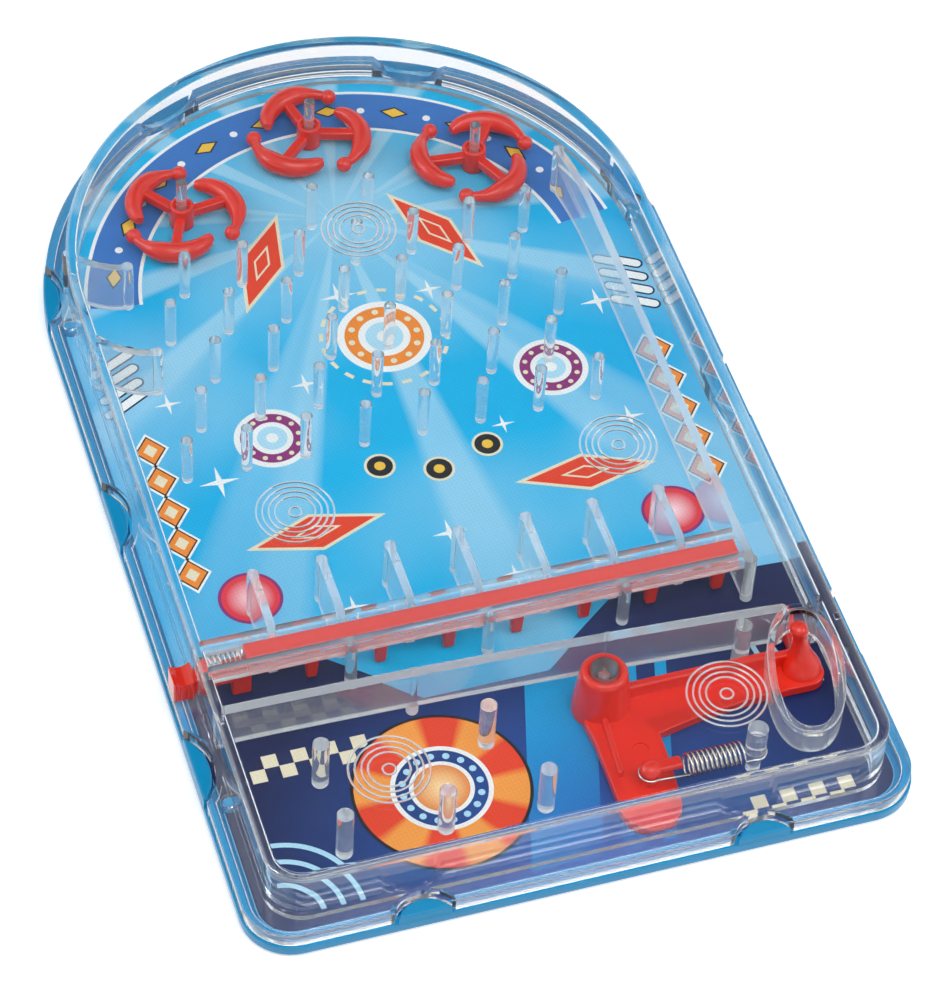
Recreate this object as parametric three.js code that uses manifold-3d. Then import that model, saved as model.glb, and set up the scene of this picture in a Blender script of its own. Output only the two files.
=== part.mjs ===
// Handheld pinball game: a flat plastic case with an arched top, a printed card under a clear cover,
// a sprung finger lever that shoots steel balls up a lane, three spinners, a field of pegs,
// a row of catching slots and a sprung slider that lets the balls out again.
// Millimetres, +Z up, +Y towards the arch, the origin at the centre of the underside.

import * as THREE from "three";
import { mergeVertices } from "three/addons/utils/BufferGeometryUtils.js";
import Module from "manifold-3d";

const wasm = await Module();
wasm.setup();

// Case outline, measured from the front edge
const caseWidth = 140;
const straightLength = 165;
const frontCornerRadius = 10.5;

// Heights of the base, the card and the cover
const floorThickness = 1.4;
const rimHeight = 3;
const rimWidth = 2;
const cardThickness = 0.8;
const cardInset = 3.5;
const flangeHeight = 3.2;
const flangePlate = 1.9;
const flangeInset = 0.4;
const skirtWidth = 1.8;
const domeRise = 11.2;
const domeInset = 5.3;
const domeCornerRadius = 8;
const wallThickness = 2;
const plateThickness = 2;

// Gap between pieces that touch, and overrun of cuts and joins
const clearance = 0.3;
const overrun = 0.5;

// Clip pads of the base in half-round notches of the flange
const frontNotchRadius = 6.9;
const frontNotchDepth = 4.4;
const frontNotchX = 35.2;
const sideNotchRadius = 12.5;
const sideNotchDepth = 4.4;
const sideNotchShares = [0.275, 0.685];
const archNotchAngles = [10.3, 64.6];
const notchWall = 1.2;
const padHeight = 5.2;
const padGap = 0.9;

// Locating pins of the base, in blind holes of the flange
const locatingPinInset = 4.8;
const locatingPinShares = [0.216, 1.018];
const locatingPinDiameter = 2.6;
const locatingPinTop = 5.2;

// Pegs
const pegDiameter = 2.6;
const pegEdgeRoom = 12.5;
const pegRowPitch = 12.9;
const pegLaneRoom = 12.7;
const pegFieldDrop = 44.9;
const pegRowEnds = [[-4, 3], [-3.5, 2.5], [-3, 3], [-3.5, 2.5], [-3, 3], [-0.5, 0.5]];

// Catching slots, and the two rails of the slider's channel
const slotCount = 8;
const firstSlotWidth = 15;
const lastSlotWidth = 12.3;
const dividerTipY = 81.8;
const dividerThickness = 1.8;
const channelY = 63.4;
const channelWidth = 4.8;
const railThickness = 2;
const railDepth = 3.1;
const railPostDiameter = 2.6;

// Launch lane
const laneWidth = 9.6;
const laneWallThickness = 1.8;
const laneWallLowY = 58.8;
const laneWallBendDrop = 2;
const laneWallLean = 1.7;
const laneWallTopRise = 16.8;

// Fins that turn balls away from the left wall
const finThickness = 1.8;
const finReach = 11.4;
const finTipRows = [4, 2];
const finRise = 7.4;

// Return shelf under the slider
const shelfLeftY = 49.7;
const shelfMiddleY = 48.2;
const shelfOverlap = 2.8;
const shelfRightY = 44.9;
const shelfThickness = 2.2;
const shelfFoot = 5.7;
const shelfPostShares = [-0.333, 0.247];

// Posts that stand free in the lower room, in shares of the free width beside the lever and of the shelf's height
const roomPostDiameter = 3.5;
const roomPostShares = [[0.272, 0.737], [0.844, 0.745], [0.27, 0.379], [0.616, 0.384], [0.956, 0.379]];
const laneStopWidth = 1.4;
const laneStopY = 45.3;
const laneStopLength = 1.8;

// Finger opening: a slanted oval well in the cover
const wellInset = 11.8;
const wellY = 28.2;
const wellHalfWidth = 7.8;
const wellHalfLength = 16.4;
const wellWall = 1.5;
const wellLean = 15;
const wellFoot = 10.5;
const wellLip = 0.5;
const wellRoundness = 2.3;

// Launch lever
const armEndGap = 1.7;
const swingAngle = 22;
const pivotY = 39.7;
const pivotPostDiameter = 5.8;
const leverBoreGap = 0.3;
const bossTopRadius = 4.95;
const bossFootRadius = 6.1;
const bossTop = 15.2;
const webThickness = 2.3;
const ribThickness = 1.9;
const ribRise = 3.3;
const legRibThickness = 1.2;
const legRibRise = 1.8;
const armReach = 43.4;
const armEndDrop = 3.4;
const armEndRadius = 3.6;
const armEdgeShares = [[0.205, -0.253], [0.438, -0.205], [0.876, -0.16]];
const legReach = 25.4;
const legOffset = 1.7;
const footRadius = 6.3;
const legRightShares = [[0.31, -1], [0.34, -0.72]];
const legLeftShares = [[-0.2, -0.16], [-0.178, -0.39], [-0.181, -0.78], [-0.181, -1]];
const legRibShares = [[-0.04, -0.12], [-0.09, -0.74]];
const dimpleRadius = 2;
const dimpleDepth = 0.5;
const dimpleShares = [0.146, -0.551];
const knobBack = 0.6;
const knobY = -2.2;
const knobTop = 16.6;
const knobFootRadius = 4.2;
const knobLeanX = -1.1;
const knobLeanY = 2.4;
const knobRadiusShares = [1, 0.95, 0.8, 0.64, 0.48, 0.35, 0.42, 0.3];
const knobHeightShares = [0, 0.12, 0.27, 0.44, 0.6, 0.74, 0.87, 0.96];
const strikerReach = 10.8;
const strikerWidth = 2.5;
const strikerRise = 3.4;
const leverStopInset = 7.3;
const leverStopDiameter = 3.6;

// Spring of the launch lever, between a hook post on the lever and a post of the cover
const springPostInset = 14.1;
const springPostY = 17.2;
const springPostHeadDiameter = 4.3;
const springPostNeckDiameter = 3;
const hookX = 2.8;
const hookY = -22;
const hookNeckDiameter = 3;
const hookHeadDiameter = 4.4;
const hookHeadHeight = 1.2;
const lipLength = 6.4;
const lipWidth = 2.6;
const lipHeight = 1.5;
const coilHeight = 8.3;
const coilRadius = 2.35;
const coilWire = 0.5;
const coilPitch = 1;
const coilEndGap = 2.75;
const loopRadius = 2.3;
const hookLoopAngles = [70, 290];
const postLoopAngles = [110, -110];

// Release slider
const barWidth = 4;
const barHeight = 4;
const barSpringRoom = 8.2;
const barEndGap = 0.7;
const toothWidth = 3.3;
const toothFootWidth = 2.3;
const toothDepth = 2.4;
const endToothRoom = 5.5;
const endToothLength = 4;
const endToothTop = 12.1;
const armWidth = 3.4;
const armHeight = 4.2;
const armTop = 12;
const knobWallGap = 0.5;
const knobLength = 4.6;
const knobDepth = 5;
const knobBottom = 7.2;
const knobHeight = 6.2;
const knobDip = 1.4;

// Return spring of the slider, round a spigot on the case wall
const returnSpringRadius = 1.38;
const returnSpringWire = 0.4;
const returnSpringTurns = 7;
const spigotDiameter = 1.6;
const spigotLength = 3.4;
const returnSpringZ = 13.85;

// Spinners: a hub on a post, three spokes, and three curved paddles with a ball at one end
// Spinner places are shares of the arch's radius from the arch's centre
const spinnerNames = ["spinner_left", "spinner_centre", "spinner_right"];
const spinnerShares = [[-0.479, 0.404], [0.01, 0.65], [0.497, 0.413]];
const spinnerPhases = [78, 53.5, 5.4];
const spinnerArms = 3;
const hubRadius = 2.5;
const hubTop = 8.6;
const hubCupRadius = 1.9;
const hubCupDepth = 1.2;
const spinnerPostDiameter = 2.4;
const spinnerBoreGap = 0.3;
const spokeWidth = 1.8;
const spokeHeight = 2.3;
const spokeReach = 10.6;
const paddleZ = 5.6;
const paddleBallRadius = 1.75;
const paddleBallReach = 12.6;
const paddleTipReach = 9.6;
const paddleBow = 0.9;
const paddleThickness = 3.2;
const paddleHeight = 4.4;
const paddleSweepAngle = 100;
const spokeAngle = 50;
const paddleThickShares = [0.5, 0.62, 0.86, 1, 1, 0.94, 0.8, 0.52];

// Steel balls in the slots, each beside its slot's tooth
const ballDiameter = 6.35;
const ballSlots = [1, 3, 4, 6, 7, 8];
const ballSides = [1, 1, -1, -1, -1, -1];
const ballRest = 5.6;

// Number of flat sides on round shapes
const archSteps = 40;
const cornerSteps = 7;
const pegSides = 8;
const roundSides = 16;
const wellSides = 28;

// Heights that follow
const cardBottom = floorThickness + clearance;
const cardTop = cardBottom + cardThickness;
const playFloor = cardTop + clearance;
const flangeBottom = rimHeight + clearance;
const flangeTop = flangeBottom + flangeHeight;
const domeTop = flangeTop + domeRise;
const ceiling = domeTop - plateThickness;
const archRadius = caseWidth / 2;
const caseLength = straightLength + archRadius;
const roomHalfWidth = archRadius - domeInset - wallThickness;
const railFoot = ceiling - railDepth;
const barBottom = ceiling - overrun - barHeight;
const webTop = playFloor + webThickness;

// Places across and along the case that follow
const locatingPinX = archRadius - locatingPinInset;
const laneWallX = roomHalfWidth - laneWidth - laneWallThickness / 2;
const laneWallBendY = straightLength - laneWallBendDrop;
const laneWallTopX = laneWallX - laneWallLean;
const laneWallTopY = straightLength + laneWallTopRise;
const finTipX = finReach - roomHalfWidth;
const firstDividerX = firstSlotWidth - roomHalfWidth;
const slotPitch = (laneWallX - lastSlotWidth - firstDividerX) / (slotCount - 2);
const pegColumnPitch = (laneWallX - finTipX - pegEdgeRoom) / (slotCount - 1);
const pegFieldX = laneWallX - pegLaneRoom - 3 * pegColumnPitch;
const pegFieldY = straightLength - pegFieldDrop;
const shelfRightX = laneWallX + shelfOverlap;
const wellX = archRadius - domeInset - wellInset;
const pivotX = roomHalfWidth - armEndGap - armEndRadius - armReach;
const knobX = armReach - knobBack;
const leverStopX = laneWallX - leverStopInset;
const springPostX = wellX - springPostInset;
const coilLeftX = pivotX + hookX + lipLength + clearance * 2 + coilWire / 2;
const coilTurns = Math.round((springPostX - coilEndGap - coilLeftX) / coilPitch);
const barLeftX = barSpringRoom - roomHalfWidth;
const barRightX = laneWallX - laneWallThickness / 2 - barEndGap;
const endToothLeftX = endToothRoom - roomHalfWidth;
const endToothRightX = endToothLeftX + endToothLength;
const knobOuterX = archRadius - domeInset + knobWallGap + knobLength;

const spinnerPlaces = spinnerShares.map(([x, y]) => [x * archRadius, straightLength + y * archRadius]);

const degrees = Math.PI / 180;

// Geometry with merged corners becomes a solid that can be joined and cut
function solidOf(geometry) {
  const bare = geometry.clone();
  bare.deleteAttribute("normal");
  bare.deleteAttribute("uv");
  const merged = mergeVertices(bare);
  const vertProperties = new Float32Array(merged.attributes.position.array);
  const triVerts = new Uint32Array(merged.index.array);
  return new wasm.Manifold(new wasm.Mesh({ numProp: 3, vertProperties, triVerts }));
}

function geometryOf(solid) {
  const mesh = solid.getMesh();
  const indexed = new THREE.BufferGeometry();
  indexed.setAttribute("position", new THREE.BufferAttribute(new Float32Array(mesh.vertProperties), 3));
  indexed.setIndex(new THREE.BufferAttribute(new Uint32Array(mesh.triVerts), 1));
  const flat = indexed.toNonIndexed();
  flat.computeVertexNormals();
  return flat;
}

function join(solids) {
  return solids.reduce((whole, piece) => whole.add(piece));
}

// Points on an arc about (x, y), from one angle to another in radians
function arc(x, y, radius, from, to, steps) {
  const points = [];
  for (let i = 0; i <= steps; i++) {
    const angle = from + (to - from) * i / steps;
    points.push(new THREE.Vector2(x + radius * Math.cos(angle), y + radius * Math.sin(angle)));
  }
  return points;
}

// The case's outline drawn in by a distance: round front corners, straight sides and a half-round arch
function outline(inset, corner) {
  const half = archRadius - inset;
  const right = half - corner;
  const low = inset + corner;
  const quarter = Math.PI / 2;
  return new THREE.Shape([
    ...arc(right, low, corner, -quarter, 0, cornerSteps),
    ...arc(0, straightLength, half, 0, Math.PI, archSteps),
    ...arc(-right, low, corner, Math.PI, Math.PI + quarter, cornerSteps),
  ]);
}

function extrude(shape, low, high) {
  const geometry = new THREE.ExtrudeGeometry(shape, { depth: high - low, bevelEnabled: false });
  return solidOf(geometry.translate(0, 0, low));
}

// An upright post, which may taper
function post(x, y, topRadius, footRadiusOf, low, high, sides = roundSides) {
  const geometry = new THREE.CylinderGeometry(topRadius, footRadiusOf, high - low, sides);
  return solidOf(geometry.rotateX(Math.PI / 2).translate(x, y, (low + high) / 2));
}

function box(x0, x1, y0, y1, z0, z1) {
  const geometry = new THREE.BoxGeometry(x1 - x0, y1 - y0, z1 - z0);
  return solidOf(geometry.translate((x0 + x1) / 2, (y0 + y1) / 2, (z0 + z1) / 2));
}

// An upright wall of one thickness along a path of points
function wallAlong(points, thickness, low, high) {
  const left = [];
  const right = [];
  points.forEach((point, i) => {
    const before = points[Math.max(i - 1, 0)];
    const after = points[Math.min(i + 1, points.length - 1)];
    const along = after.clone().sub(before).normalize();
    const side = new THREE.Vector2(-along.y, along.x).multiplyScalar(thickness / 2);
    left.push(point.clone().add(side));
    right.unshift(point.clone().sub(side));
  });
  return extrude(new THREE.Shape([...right, ...left]), low, high);
}

function curvePoints(places, steps) {
  const [from, bend, to] = places.map(([x, y]) => new THREE.Vector2(x, y));
  return new THREE.QuadraticBezierCurve(from, bend, to).getPoints(steps);
}

// Places of the half-round notches: centre of the notch circle and its radius
function notchPlaces() {
  const places = [];
  const frontCentre = frontNotchDepth - frontNotchRadius;
  const sideCentre = archRadius - sideNotchDepth + sideNotchRadius;
  for (const side of [-1, 1]) {
    places.push([side * frontNotchX, frontCentre, frontNotchRadius]);
    for (const share of sideNotchShares) {
      places.push([side * sideCentre, share * straightLength, sideNotchRadius]);
    }
    for (const angle of archNotchAngles) {
      const x = side * sideCentre * Math.cos(angle * degrees);
      places.push([x, straightLength + sideCentre * Math.sin(angle * degrees), sideNotchRadius]);
    }
  }
  return places;
}

function notchCylinders(change, low, high) {
  return join(notchPlaces().map(([x, y, radius]) => {
    return post(x, y, radius + change, radius + change, low, high, roundSides * 2);
  }));
}

function locatingPins(diameter, low, high) {
  const pins = [];
  for (const side of [-1, 1]) {
    for (const share of locatingPinShares) {
      const y = share * straightLength;
      pins.push(post(side * locatingPinX, y, diameter / 2, diameter / 2, low, high, pegSides));
    }
  }
  return join(pins);
}

// Blue tray: floor, rim, clip pads and locating pins
function baseTray() {
  const body = extrude(outline(0, frontCornerRadius), 0, rimHeight);
  const hollow = extrude(outline(rimWidth, frontCornerRadius - rimWidth), floorThickness, rimHeight + overrun);
  const padBlank = extrude(outline(0, frontCornerRadius), floorThickness - overrun, padHeight);
  const pads = padBlank.intersect(notchCylinders(-padGap, 0, padHeight + overrun));
  const pins = locatingPins(locatingPinDiameter, floorThickness - overrun, locatingPinTop);
  return join([body.subtract(hollow), pads, pins]);
}

// Printed card, cut clear of the pads and the pins
function playfieldCard() {
  const sheet = extrude(outline(cardInset, frontCornerRadius - cardInset), cardBottom, cardTop);
  const cuts = notchCylinders(-padGap + clearance, 0, padHeight);
  const holes = locatingPins(locatingPinDiameter + clearance * 2, 0, padHeight);
  return sheet.subtract(cuts).subtract(holes);
}

// Oval of the finger opening, drawn in or out by a distance
function wellOutline(change) {
  const points = [];
  const lean = -wellLean * degrees;
  for (let i = 0; i < wellSides; i++) {
    const angle = 2 * Math.PI * i / wellSides;
    const c = Math.cos(angle);
    const s = Math.sin(angle);
    const across = Math.sign(c) * Math.abs(c) ** (2 / wellRoundness) * (wellHalfWidth + change);
    const along = Math.sign(s) * Math.abs(s) ** (2 / wellRoundness) * (wellHalfLength + change);
    const x = across * Math.cos(lean) - along * Math.sin(lean);
    const y = across * Math.sin(lean) + along * Math.cos(lean);
    points.push(new THREE.Vector2(wellX + x, wellY + y));
  }
  return new THREE.Shape(points);
}

function coverShell() {
  const innerCorner = domeCornerRadius - wallThickness;
  const domeOuter = outline(domeInset, domeCornerRadius);
  const roomOutline = outline(domeInset + wallThickness, innerCorner);
  const flangeOutline = outline(flangeInset, frontCornerRadius - flangeInset);
  const channelInset = flangeInset + skirtWidth;
  const channelBlank = extrude(outline(channelInset, frontCornerRadius - channelInset),
    flangeBottom - overrun, flangeTop - flangePlate);
  const channel = channelBlank
    .subtract(extrude(domeOuter, 0, flangeTop))
    .subtract(notchCylinders(notchWall, 0, flangeTop));
  const pinHoles = locatingPins(locatingPinDiameter + clearance * 2, 0, locatingPinTop + clearance);
  return extrude(flangeOutline, flangeBottom, flangeTop)
    .add(extrude(domeOuter, flangeBottom, domeTop))
    .subtract(channel)
    .subtract(extrude(roomOutline, 0, ceiling))
    .subtract(notchCylinders(0, 0, flangeTop + overrun))
    .subtract(pinHoles);
}

// Names and places of the pegs, row by row from the front
function pegPlaces() {
  const places = [];
  pegRowEnds.forEach(([first, last], row) => {
    for (let column = first; column <= last; column++) {
      const x = pegFieldX + column * pegColumnPitch;
      const y = pegFieldY + row * pegRowPitch;
      places.push([`peg_${row + 1}_${column - first + 1}`, x, y]);
    }
  });
  return places;
}

function slotWalls() {
  const list = [];
  const rearRailY = channelY + channelWidth / 2;
  const frontRailY = channelY - channelWidth / 2 - railThickness;
  const left = -roomHalfWidth - overrun;
  for (const y of [rearRailY, frontRailY]) {
    list.push(box(left, laneWallX, y, y + railThickness, railFoot, ceiling + overrun));
  }
  for (let i = 0; i < slotCount - 1; i++) {
    const x = firstDividerX + i * slotPitch;
    const half = dividerThickness / 2;
    list.push(box(x - half, x + half, rearRailY, dividerTipY, playFloor, ceiling + overrun));
    list.push(post(x, dividerTipY, pegDiameter / 2, pegDiameter / 2, playFloor, ceiling + overrun, pegSides));
  }
  for (let i = 1; i < slotCount - 1; i += 2) {
    const x = firstDividerX + i * slotPitch;
    const radius = railPostDiameter / 2;
    const y = frontRailY + railThickness - radius;
    list.push(post(x, y, radius, radius, playFloor, ceiling + overrun, pegSides));
  }
  return list;
}

function laneAndFins() {
  const list = [];
  const upper = curvePoints([[laneWallX, laneWallBendY], [laneWallX, (laneWallBendY + laneWallTopY) / 2],
    [laneWallTopX, laneWallTopY]], cornerSteps);
  const path = [new THREE.Vector2(laneWallX, laneWallLowY), ...upper];
  list.push(wallAlong(path, laneWallThickness, playFloor, ceiling + overrun));
  for (const [x, y] of [[laneWallX, laneWallLowY], [laneWallTopX, laneWallTopY]]) {
    list.push(post(x, y, pegDiameter / 2, pegDiameter / 2, playFloor, ceiling + overrun, pegSides));
  }
  for (const row of finTipRows) {
    const y = pegFieldY + row * pegRowPitch;
    const left = finTipX - finReach - overrun;
    const fin = curvePoints([[left, y + finRise], [(left + finTipX) / 2, y], [finTipX, y]], cornerSteps);
    list.push(wallAlong(fin, finThickness, playFloor, ceiling + overrun));
    list.push(post(finTipX, y, pegDiameter / 2, pegDiameter / 2, playFloor, ceiling + overrun, pegSides));
  }
  return list;
}

// Height of the return shelf's line above the front edge, at a place across the case
function shelfY(x) {
  const left = -roomHalfWidth;
  const middleShare = (x - left) / (shelfRightX - left);
  const straight = shelfLeftY + (shelfRightY - shelfLeftY) * middleShare;
  const sagAtMiddle = shelfMiddleY - (shelfLeftY + (shelfRightY - shelfLeftY) * (-left / (shelfRightX - left)));
  return straight + 4 * sagAtMiddle * middleShare * (1 - middleShare);
}

function lowerRoom() {
  const list = [];
  const left = -roomHalfWidth - overrun;
  const shelf = [];
  for (let i = 0; i <= cornerSteps; i++) {
    const x = left + (shelfRightX - left) * i / cornerSteps;
    shelf.push(new THREE.Vector2(x, shelfY(x)));
  }
  list.push(wallAlong(shelf, shelfThickness, shelfFoot, ceiling + overrun));
  const pegRadius = pegDiameter / 2;
  for (const share of shelfPostShares) {
    const x = share * archRadius;
    list.push(post(x, shelfY(x), pegRadius, pegRadius, playFloor, ceiling + overrun, pegSides));
  }
  const roomRadius = roomPostDiameter / 2;
  const swing = legReach * Math.sin(swingAngle * degrees) + footRadius;
  const free = roomHalfWidth + pivotX - swing;
  for (const [across, along] of roomPostShares) {
    list.push(post(across * free - roomHalfWidth, along * shelfLeftY, roomRadius, roomRadius,
      playFloor, ceiling + overrun, pegSides));
  }
  const stopX = roomHalfWidth - laneStopWidth;
  list.push(box(stopX, roomHalfWidth + overrun, laneStopY - laneStopLength / 2, laneStopY + laneStopLength / 2,
    playFloor, ceiling + overrun));
  const stopRadius = leverStopDiameter / 2;
  const ribOuterY = pivotY + ribThickness / 2;
  list.push(post(leverStopX, ribOuterY + clearance + stopRadius, stopRadius, stopRadius,
    playFloor, ceiling + overrun));
  list.push(post(springPostX, springPostY, springPostHeadDiameter / 2, springPostHeadDiameter / 2,
    coilHeight + coilWire / 2 + clearance, ceiling + overrun));
  list.push(post(springPostX, springPostY, springPostNeckDiameter / 2, springPostNeckDiameter / 2,
    playFloor, ceiling));
  list.push(post(pivotX, pivotY, pivotPostDiameter / 2, pivotPostDiameter / 2, webTop, ceiling + overrun));
  return list;
}

function spinnerPosts() {
  return spinnerPlaces.map(([x, y]) => {
    return post(x, y, spinnerPostDiameter / 2, spinnerPostDiameter / 2, playFloor, ceiling + overrun, pegSides);
  });
}

// Clear cover: one moulding with its flange, dome, walls, rails, shelf, posts and finger well. The pegs that
// hang from it are solids of their own, so that each stands alone between the balls
function clearCover() {
  const inside = join([...slotWalls(), ...laneAndFins(), ...lowerRoom(), ...spinnerPosts()]);
  const wellBlock = extrude(wellOutline(0), wellFoot, domeTop + wellLip);
  const wellHole = extrude(wellOutline(-wellWall), wellFoot - overrun, domeTop + wellLip + overrun);
  const wallLeft = archRadius - domeInset + overrun;
  const windowCut = box(-wallLeft, -roomHalfWidth + overrun,
    channelY - armWidth / 2 - clearance, channelY + armWidth / 2 + clearance,
    armTop - armHeight - clearance, armTop + clearance);
  const spigotGeometry = new THREE.CylinderGeometry(spigotDiameter / 2, spigotDiameter / 2,
    spigotLength + overrun, pegSides);
  const spigotX = -roomHalfWidth + (spigotLength - overrun) / 2;
  const spigot = solidOf(spigotGeometry.rotateZ(Math.PI / 2).translate(spigotX, channelY, returnSpringZ));
  const outside = extrude(outline(domeInset, domeCornerRadius), 0, domeTop + wellLip + overrun);
  return coverShell()
    .add(inside.intersect(outside))
    .add(wellBlock)
    .subtract(wellHole)
    .subtract(windowCut)
    .add(spigot);
}

// Web of the lever, drawn about its pivot: an arm to the right and a leg to the front
function leverWeb() {
  const armEdge = armEdgeShares.map(([x, y]) => new THREE.Vector2(x * armReach, y * armReach));
  const legRight = legRightShares.map(([x, y]) => new THREE.Vector2(x * legReach, y * legReach));
  const legLeft = legLeftShares.map(([x, y]) => new THREE.Vector2(x * legReach, y * legReach));
  const upper = [new THREE.Vector2(armReach, ribThickness / 2), new THREE.Vector2(0, ribThickness / 2)];
  const lowEnd = new THREE.Vector2(armReach, -armEndDrop - armEndRadius);
  return new THREE.Shape([...upper, ...legLeft, ...legRight, ...armEdge, lowEnd]);
}

// Finger knob: a flared foot, a waist, a neck and a small ball that leans to one side
function fingerKnob() {
  const foot = webTop - overrun;
  const rise = knobTop - foot;
  const profile = knobRadiusShares.map((share, i) => {
    return new THREE.Vector2(share * knobFootRadius, foot + knobHeightShares[i] * rise);
  });
  profile.unshift(new THREE.Vector2(0, foot));
  profile.push(new THREE.Vector2(0, knobTop));
  const geometry = new THREE.LatheGeometry(profile, roundSides).rotateX(Math.PI / 2);
  const place = geometry.attributes.position;
  for (let i = 0; i < place.count; i++) {
    const share = (place.getZ(i) - foot) / rise;
    place.setX(i, place.getX(i) + knobLeanX * share);
    place.setY(i, place.getY(i) + knobLeanY * share);
  }
  return solidOf(geometry.translate(knobX, knobY, 0));
}

// Launch lever, made about its pivot and then set in its place
function launcherLever() {
  const bottom = playFloor;
  const web = extrude(leverWeb(), bottom, webTop);
  const foot = post(legOffset, -legReach, footRadius, footRadius, bottom, webTop, roundSides * 2);
  const armEnd = post(armReach, -armEndDrop, armEndRadius, armEndRadius, bottom, webTop + overrun);
  const boss = post(0, 0, bossTopRadius, bossFootRadius, bottom, bossTop, roundSides * 2);
  const armRib = box(0, armReach, -ribThickness / 2, ribThickness / 2, webTop - overrun, webTop + ribRise);
  const legRibPath = legRibShares.map(([x, y]) => new THREE.Vector2(x * legReach, y * legReach));
  const legRib = wallAlong(legRibPath, legRibThickness, webTop - overrun, webTop + legRibRise);
  const strikerTop = webTop + strikerRise;
  const strikerLeft = armReach - armEndRadius / 2;
  const striker = box(strikerLeft, strikerLeft + strikerWidth, -armEndDrop, strikerReach,
    webTop - webThickness / 2, strikerTop);
  const hookNeck = post(hookX, hookY, hookNeckDiameter / 2, hookNeckDiameter / 2, webTop - overrun,
    coilHeight + hookHeadHeight);
  const hookHeadLow = coilHeight + coilWire / 2 + clearance;
  const hookHead = post(hookX, hookY, hookHeadDiameter / 2, hookHeadDiameter / 2, hookHeadLow,
    hookHeadLow + hookHeadHeight);
  const lip = box(hookX, hookX + lipLength, hookY - lipWidth / 2, hookY + lipWidth / 2, hookHeadLow,
    hookHeadLow + lipHeight);
  const [dimpleX, dimpleY] = dimpleShares.map((share) => share * legReach);
  const dimple = post(dimpleX, dimpleY, dimpleRadius, dimpleRadius, webTop - dimpleDepth, webTop + overrun);
  const boreRadius = pivotPostDiameter / 2 + leverBoreGap;
  const bore = post(0, 0, boreRadius, boreRadius, 0, domeTop);
  return join([web, foot, armEnd, boss, armRib, legRib, striker, hookNeck, hookHead, lip, fingerKnob()])
    .subtract(dimple)
    .subtract(bore)
    .translate([pivotX, pivotY, 0]);
}

// A wire of five sides along a line of points, closed at both ends
function wireTube(points, radius) {
  const sides = 5;
  const positions = [];
  const index = [];
  let normal = new THREE.Vector3(0, 0, 1);
  points.forEach((point, i) => {
    const before = points[Math.max(i - 1, 0)];
    const after = points[Math.min(i + 1, points.length - 1)];
    const along = after.clone().sub(before).normalize();
    normal = normal.clone().addScaledVector(along, -normal.dot(along)).normalize();
    const side = new THREE.Vector3().crossVectors(along, normal);
    for (let k = 0; k < sides; k++) {
      const angle = 2 * Math.PI * k / sides;
      const spot = point.clone()
        .addScaledVector(normal, radius * Math.cos(angle))
        .addScaledVector(side, radius * Math.sin(angle));
      positions.push(spot.x, spot.y, spot.z);
    }
  });
  for (let i = 0; i < points.length - 1; i++) {
    for (let k = 0; k < sides; k++) {
      const a = i * sides + k;
      const b = i * sides + (k + 1) % sides;
      index.push(a, b, b + sides, a, b + sides, a + sides);
    }
  }
  const last = (points.length - 1) * sides;
  for (let k = 1; k < sides - 1; k++) {
    index.push(0, k + 1, k);
    index.push(last, last + k, last + k + 1);
  }
  const geometry = new THREE.BufferGeometry();
  geometry.setAttribute("position", new THREE.Float32BufferAttribute(positions, 3));
  geometry.setIndex(index);
  const flat = geometry.toNonIndexed();
  flat.computeVertexNormals();
  return flat;
}

// Least free gap of a wire to itself, between places that lie well apart along it
function leastGap(points, wire) {
  let least = Infinity;
  const apart = 4;
  for (let i = 0; i < points.length; i++) {
    for (let j = i + apart; j < points.length; j++) {
      least = Math.min(least, points[i].distanceTo(points[j]) - wire);
    }
  }
  return least;
}

// Points of a coil along X, with eight steps to a turn
function coilPoints(x, y, z, radius, pitch, turns, startAngle) {
  const points = [];
  const steps = 8;
  for (let i = 0; i <= turns * steps; i++) {
    const angle = startAngle + 2 * Math.PI * i / steps;
    points.push(new THREE.Vector3(x + pitch * i / steps, y + radius * Math.cos(angle),
      z + radius * Math.sin(angle)));
  }
  return points;
}

// Points of a level loop about an upright post, from one angle to another
function loopPoints(x, y, z, radius, from, to, steps) {
  return arc(x, y, radius, from * degrees, to * degrees, steps).map((p) => new THREE.Vector3(p.x, p.y, z));
}

// Tension spring: a loop round the lever's hook post, the coil, and a loop round the cover's post
function launcherSpring() {
  const hookPlaceX = pivotX + hookX;
  const hookPlaceY = pivotY + hookY;
  const middleY = (hookPlaceY + springPostY) / 2;
  const loopSteps = 10;
  const hookLoop = loopPoints(hookPlaceX, hookPlaceY, coilHeight, loopRadius, ...hookLoopAngles, loopSteps);
  const postLoop = loopPoints(springPostX, springPostY, coilHeight, loopRadius, ...postLoopAngles, loopSteps);
  const coil = coilPoints(coilLeftX, middleY, coilHeight, coilRadius, coilPitch, coilTurns, -Math.PI);
  const points = [...hookLoop, ...coil, ...postLoop.reverse()];
  console.log("launcher_spring least gap, mm:", leastGap(points, coilWire).toFixed(3));
  return wireTube(points, coilWire / 2);
}

function sliderSpring() {
  const left = -roomHalfWidth + clearance + returnSpringWire / 2;
  const right = barLeftX - clearance - returnSpringWire / 2;
  const pitch = (right - left) / returnSpringTurns;
  const points = coilPoints(left, channelY, returnSpringZ, returnSpringRadius, pitch, returnSpringTurns, 0);
  console.log("slider_spring least gap, mm:", leastGap(points, returnSpringWire).toFixed(3));
  return wireTube(points, returnSpringWire / 2);
}

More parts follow.
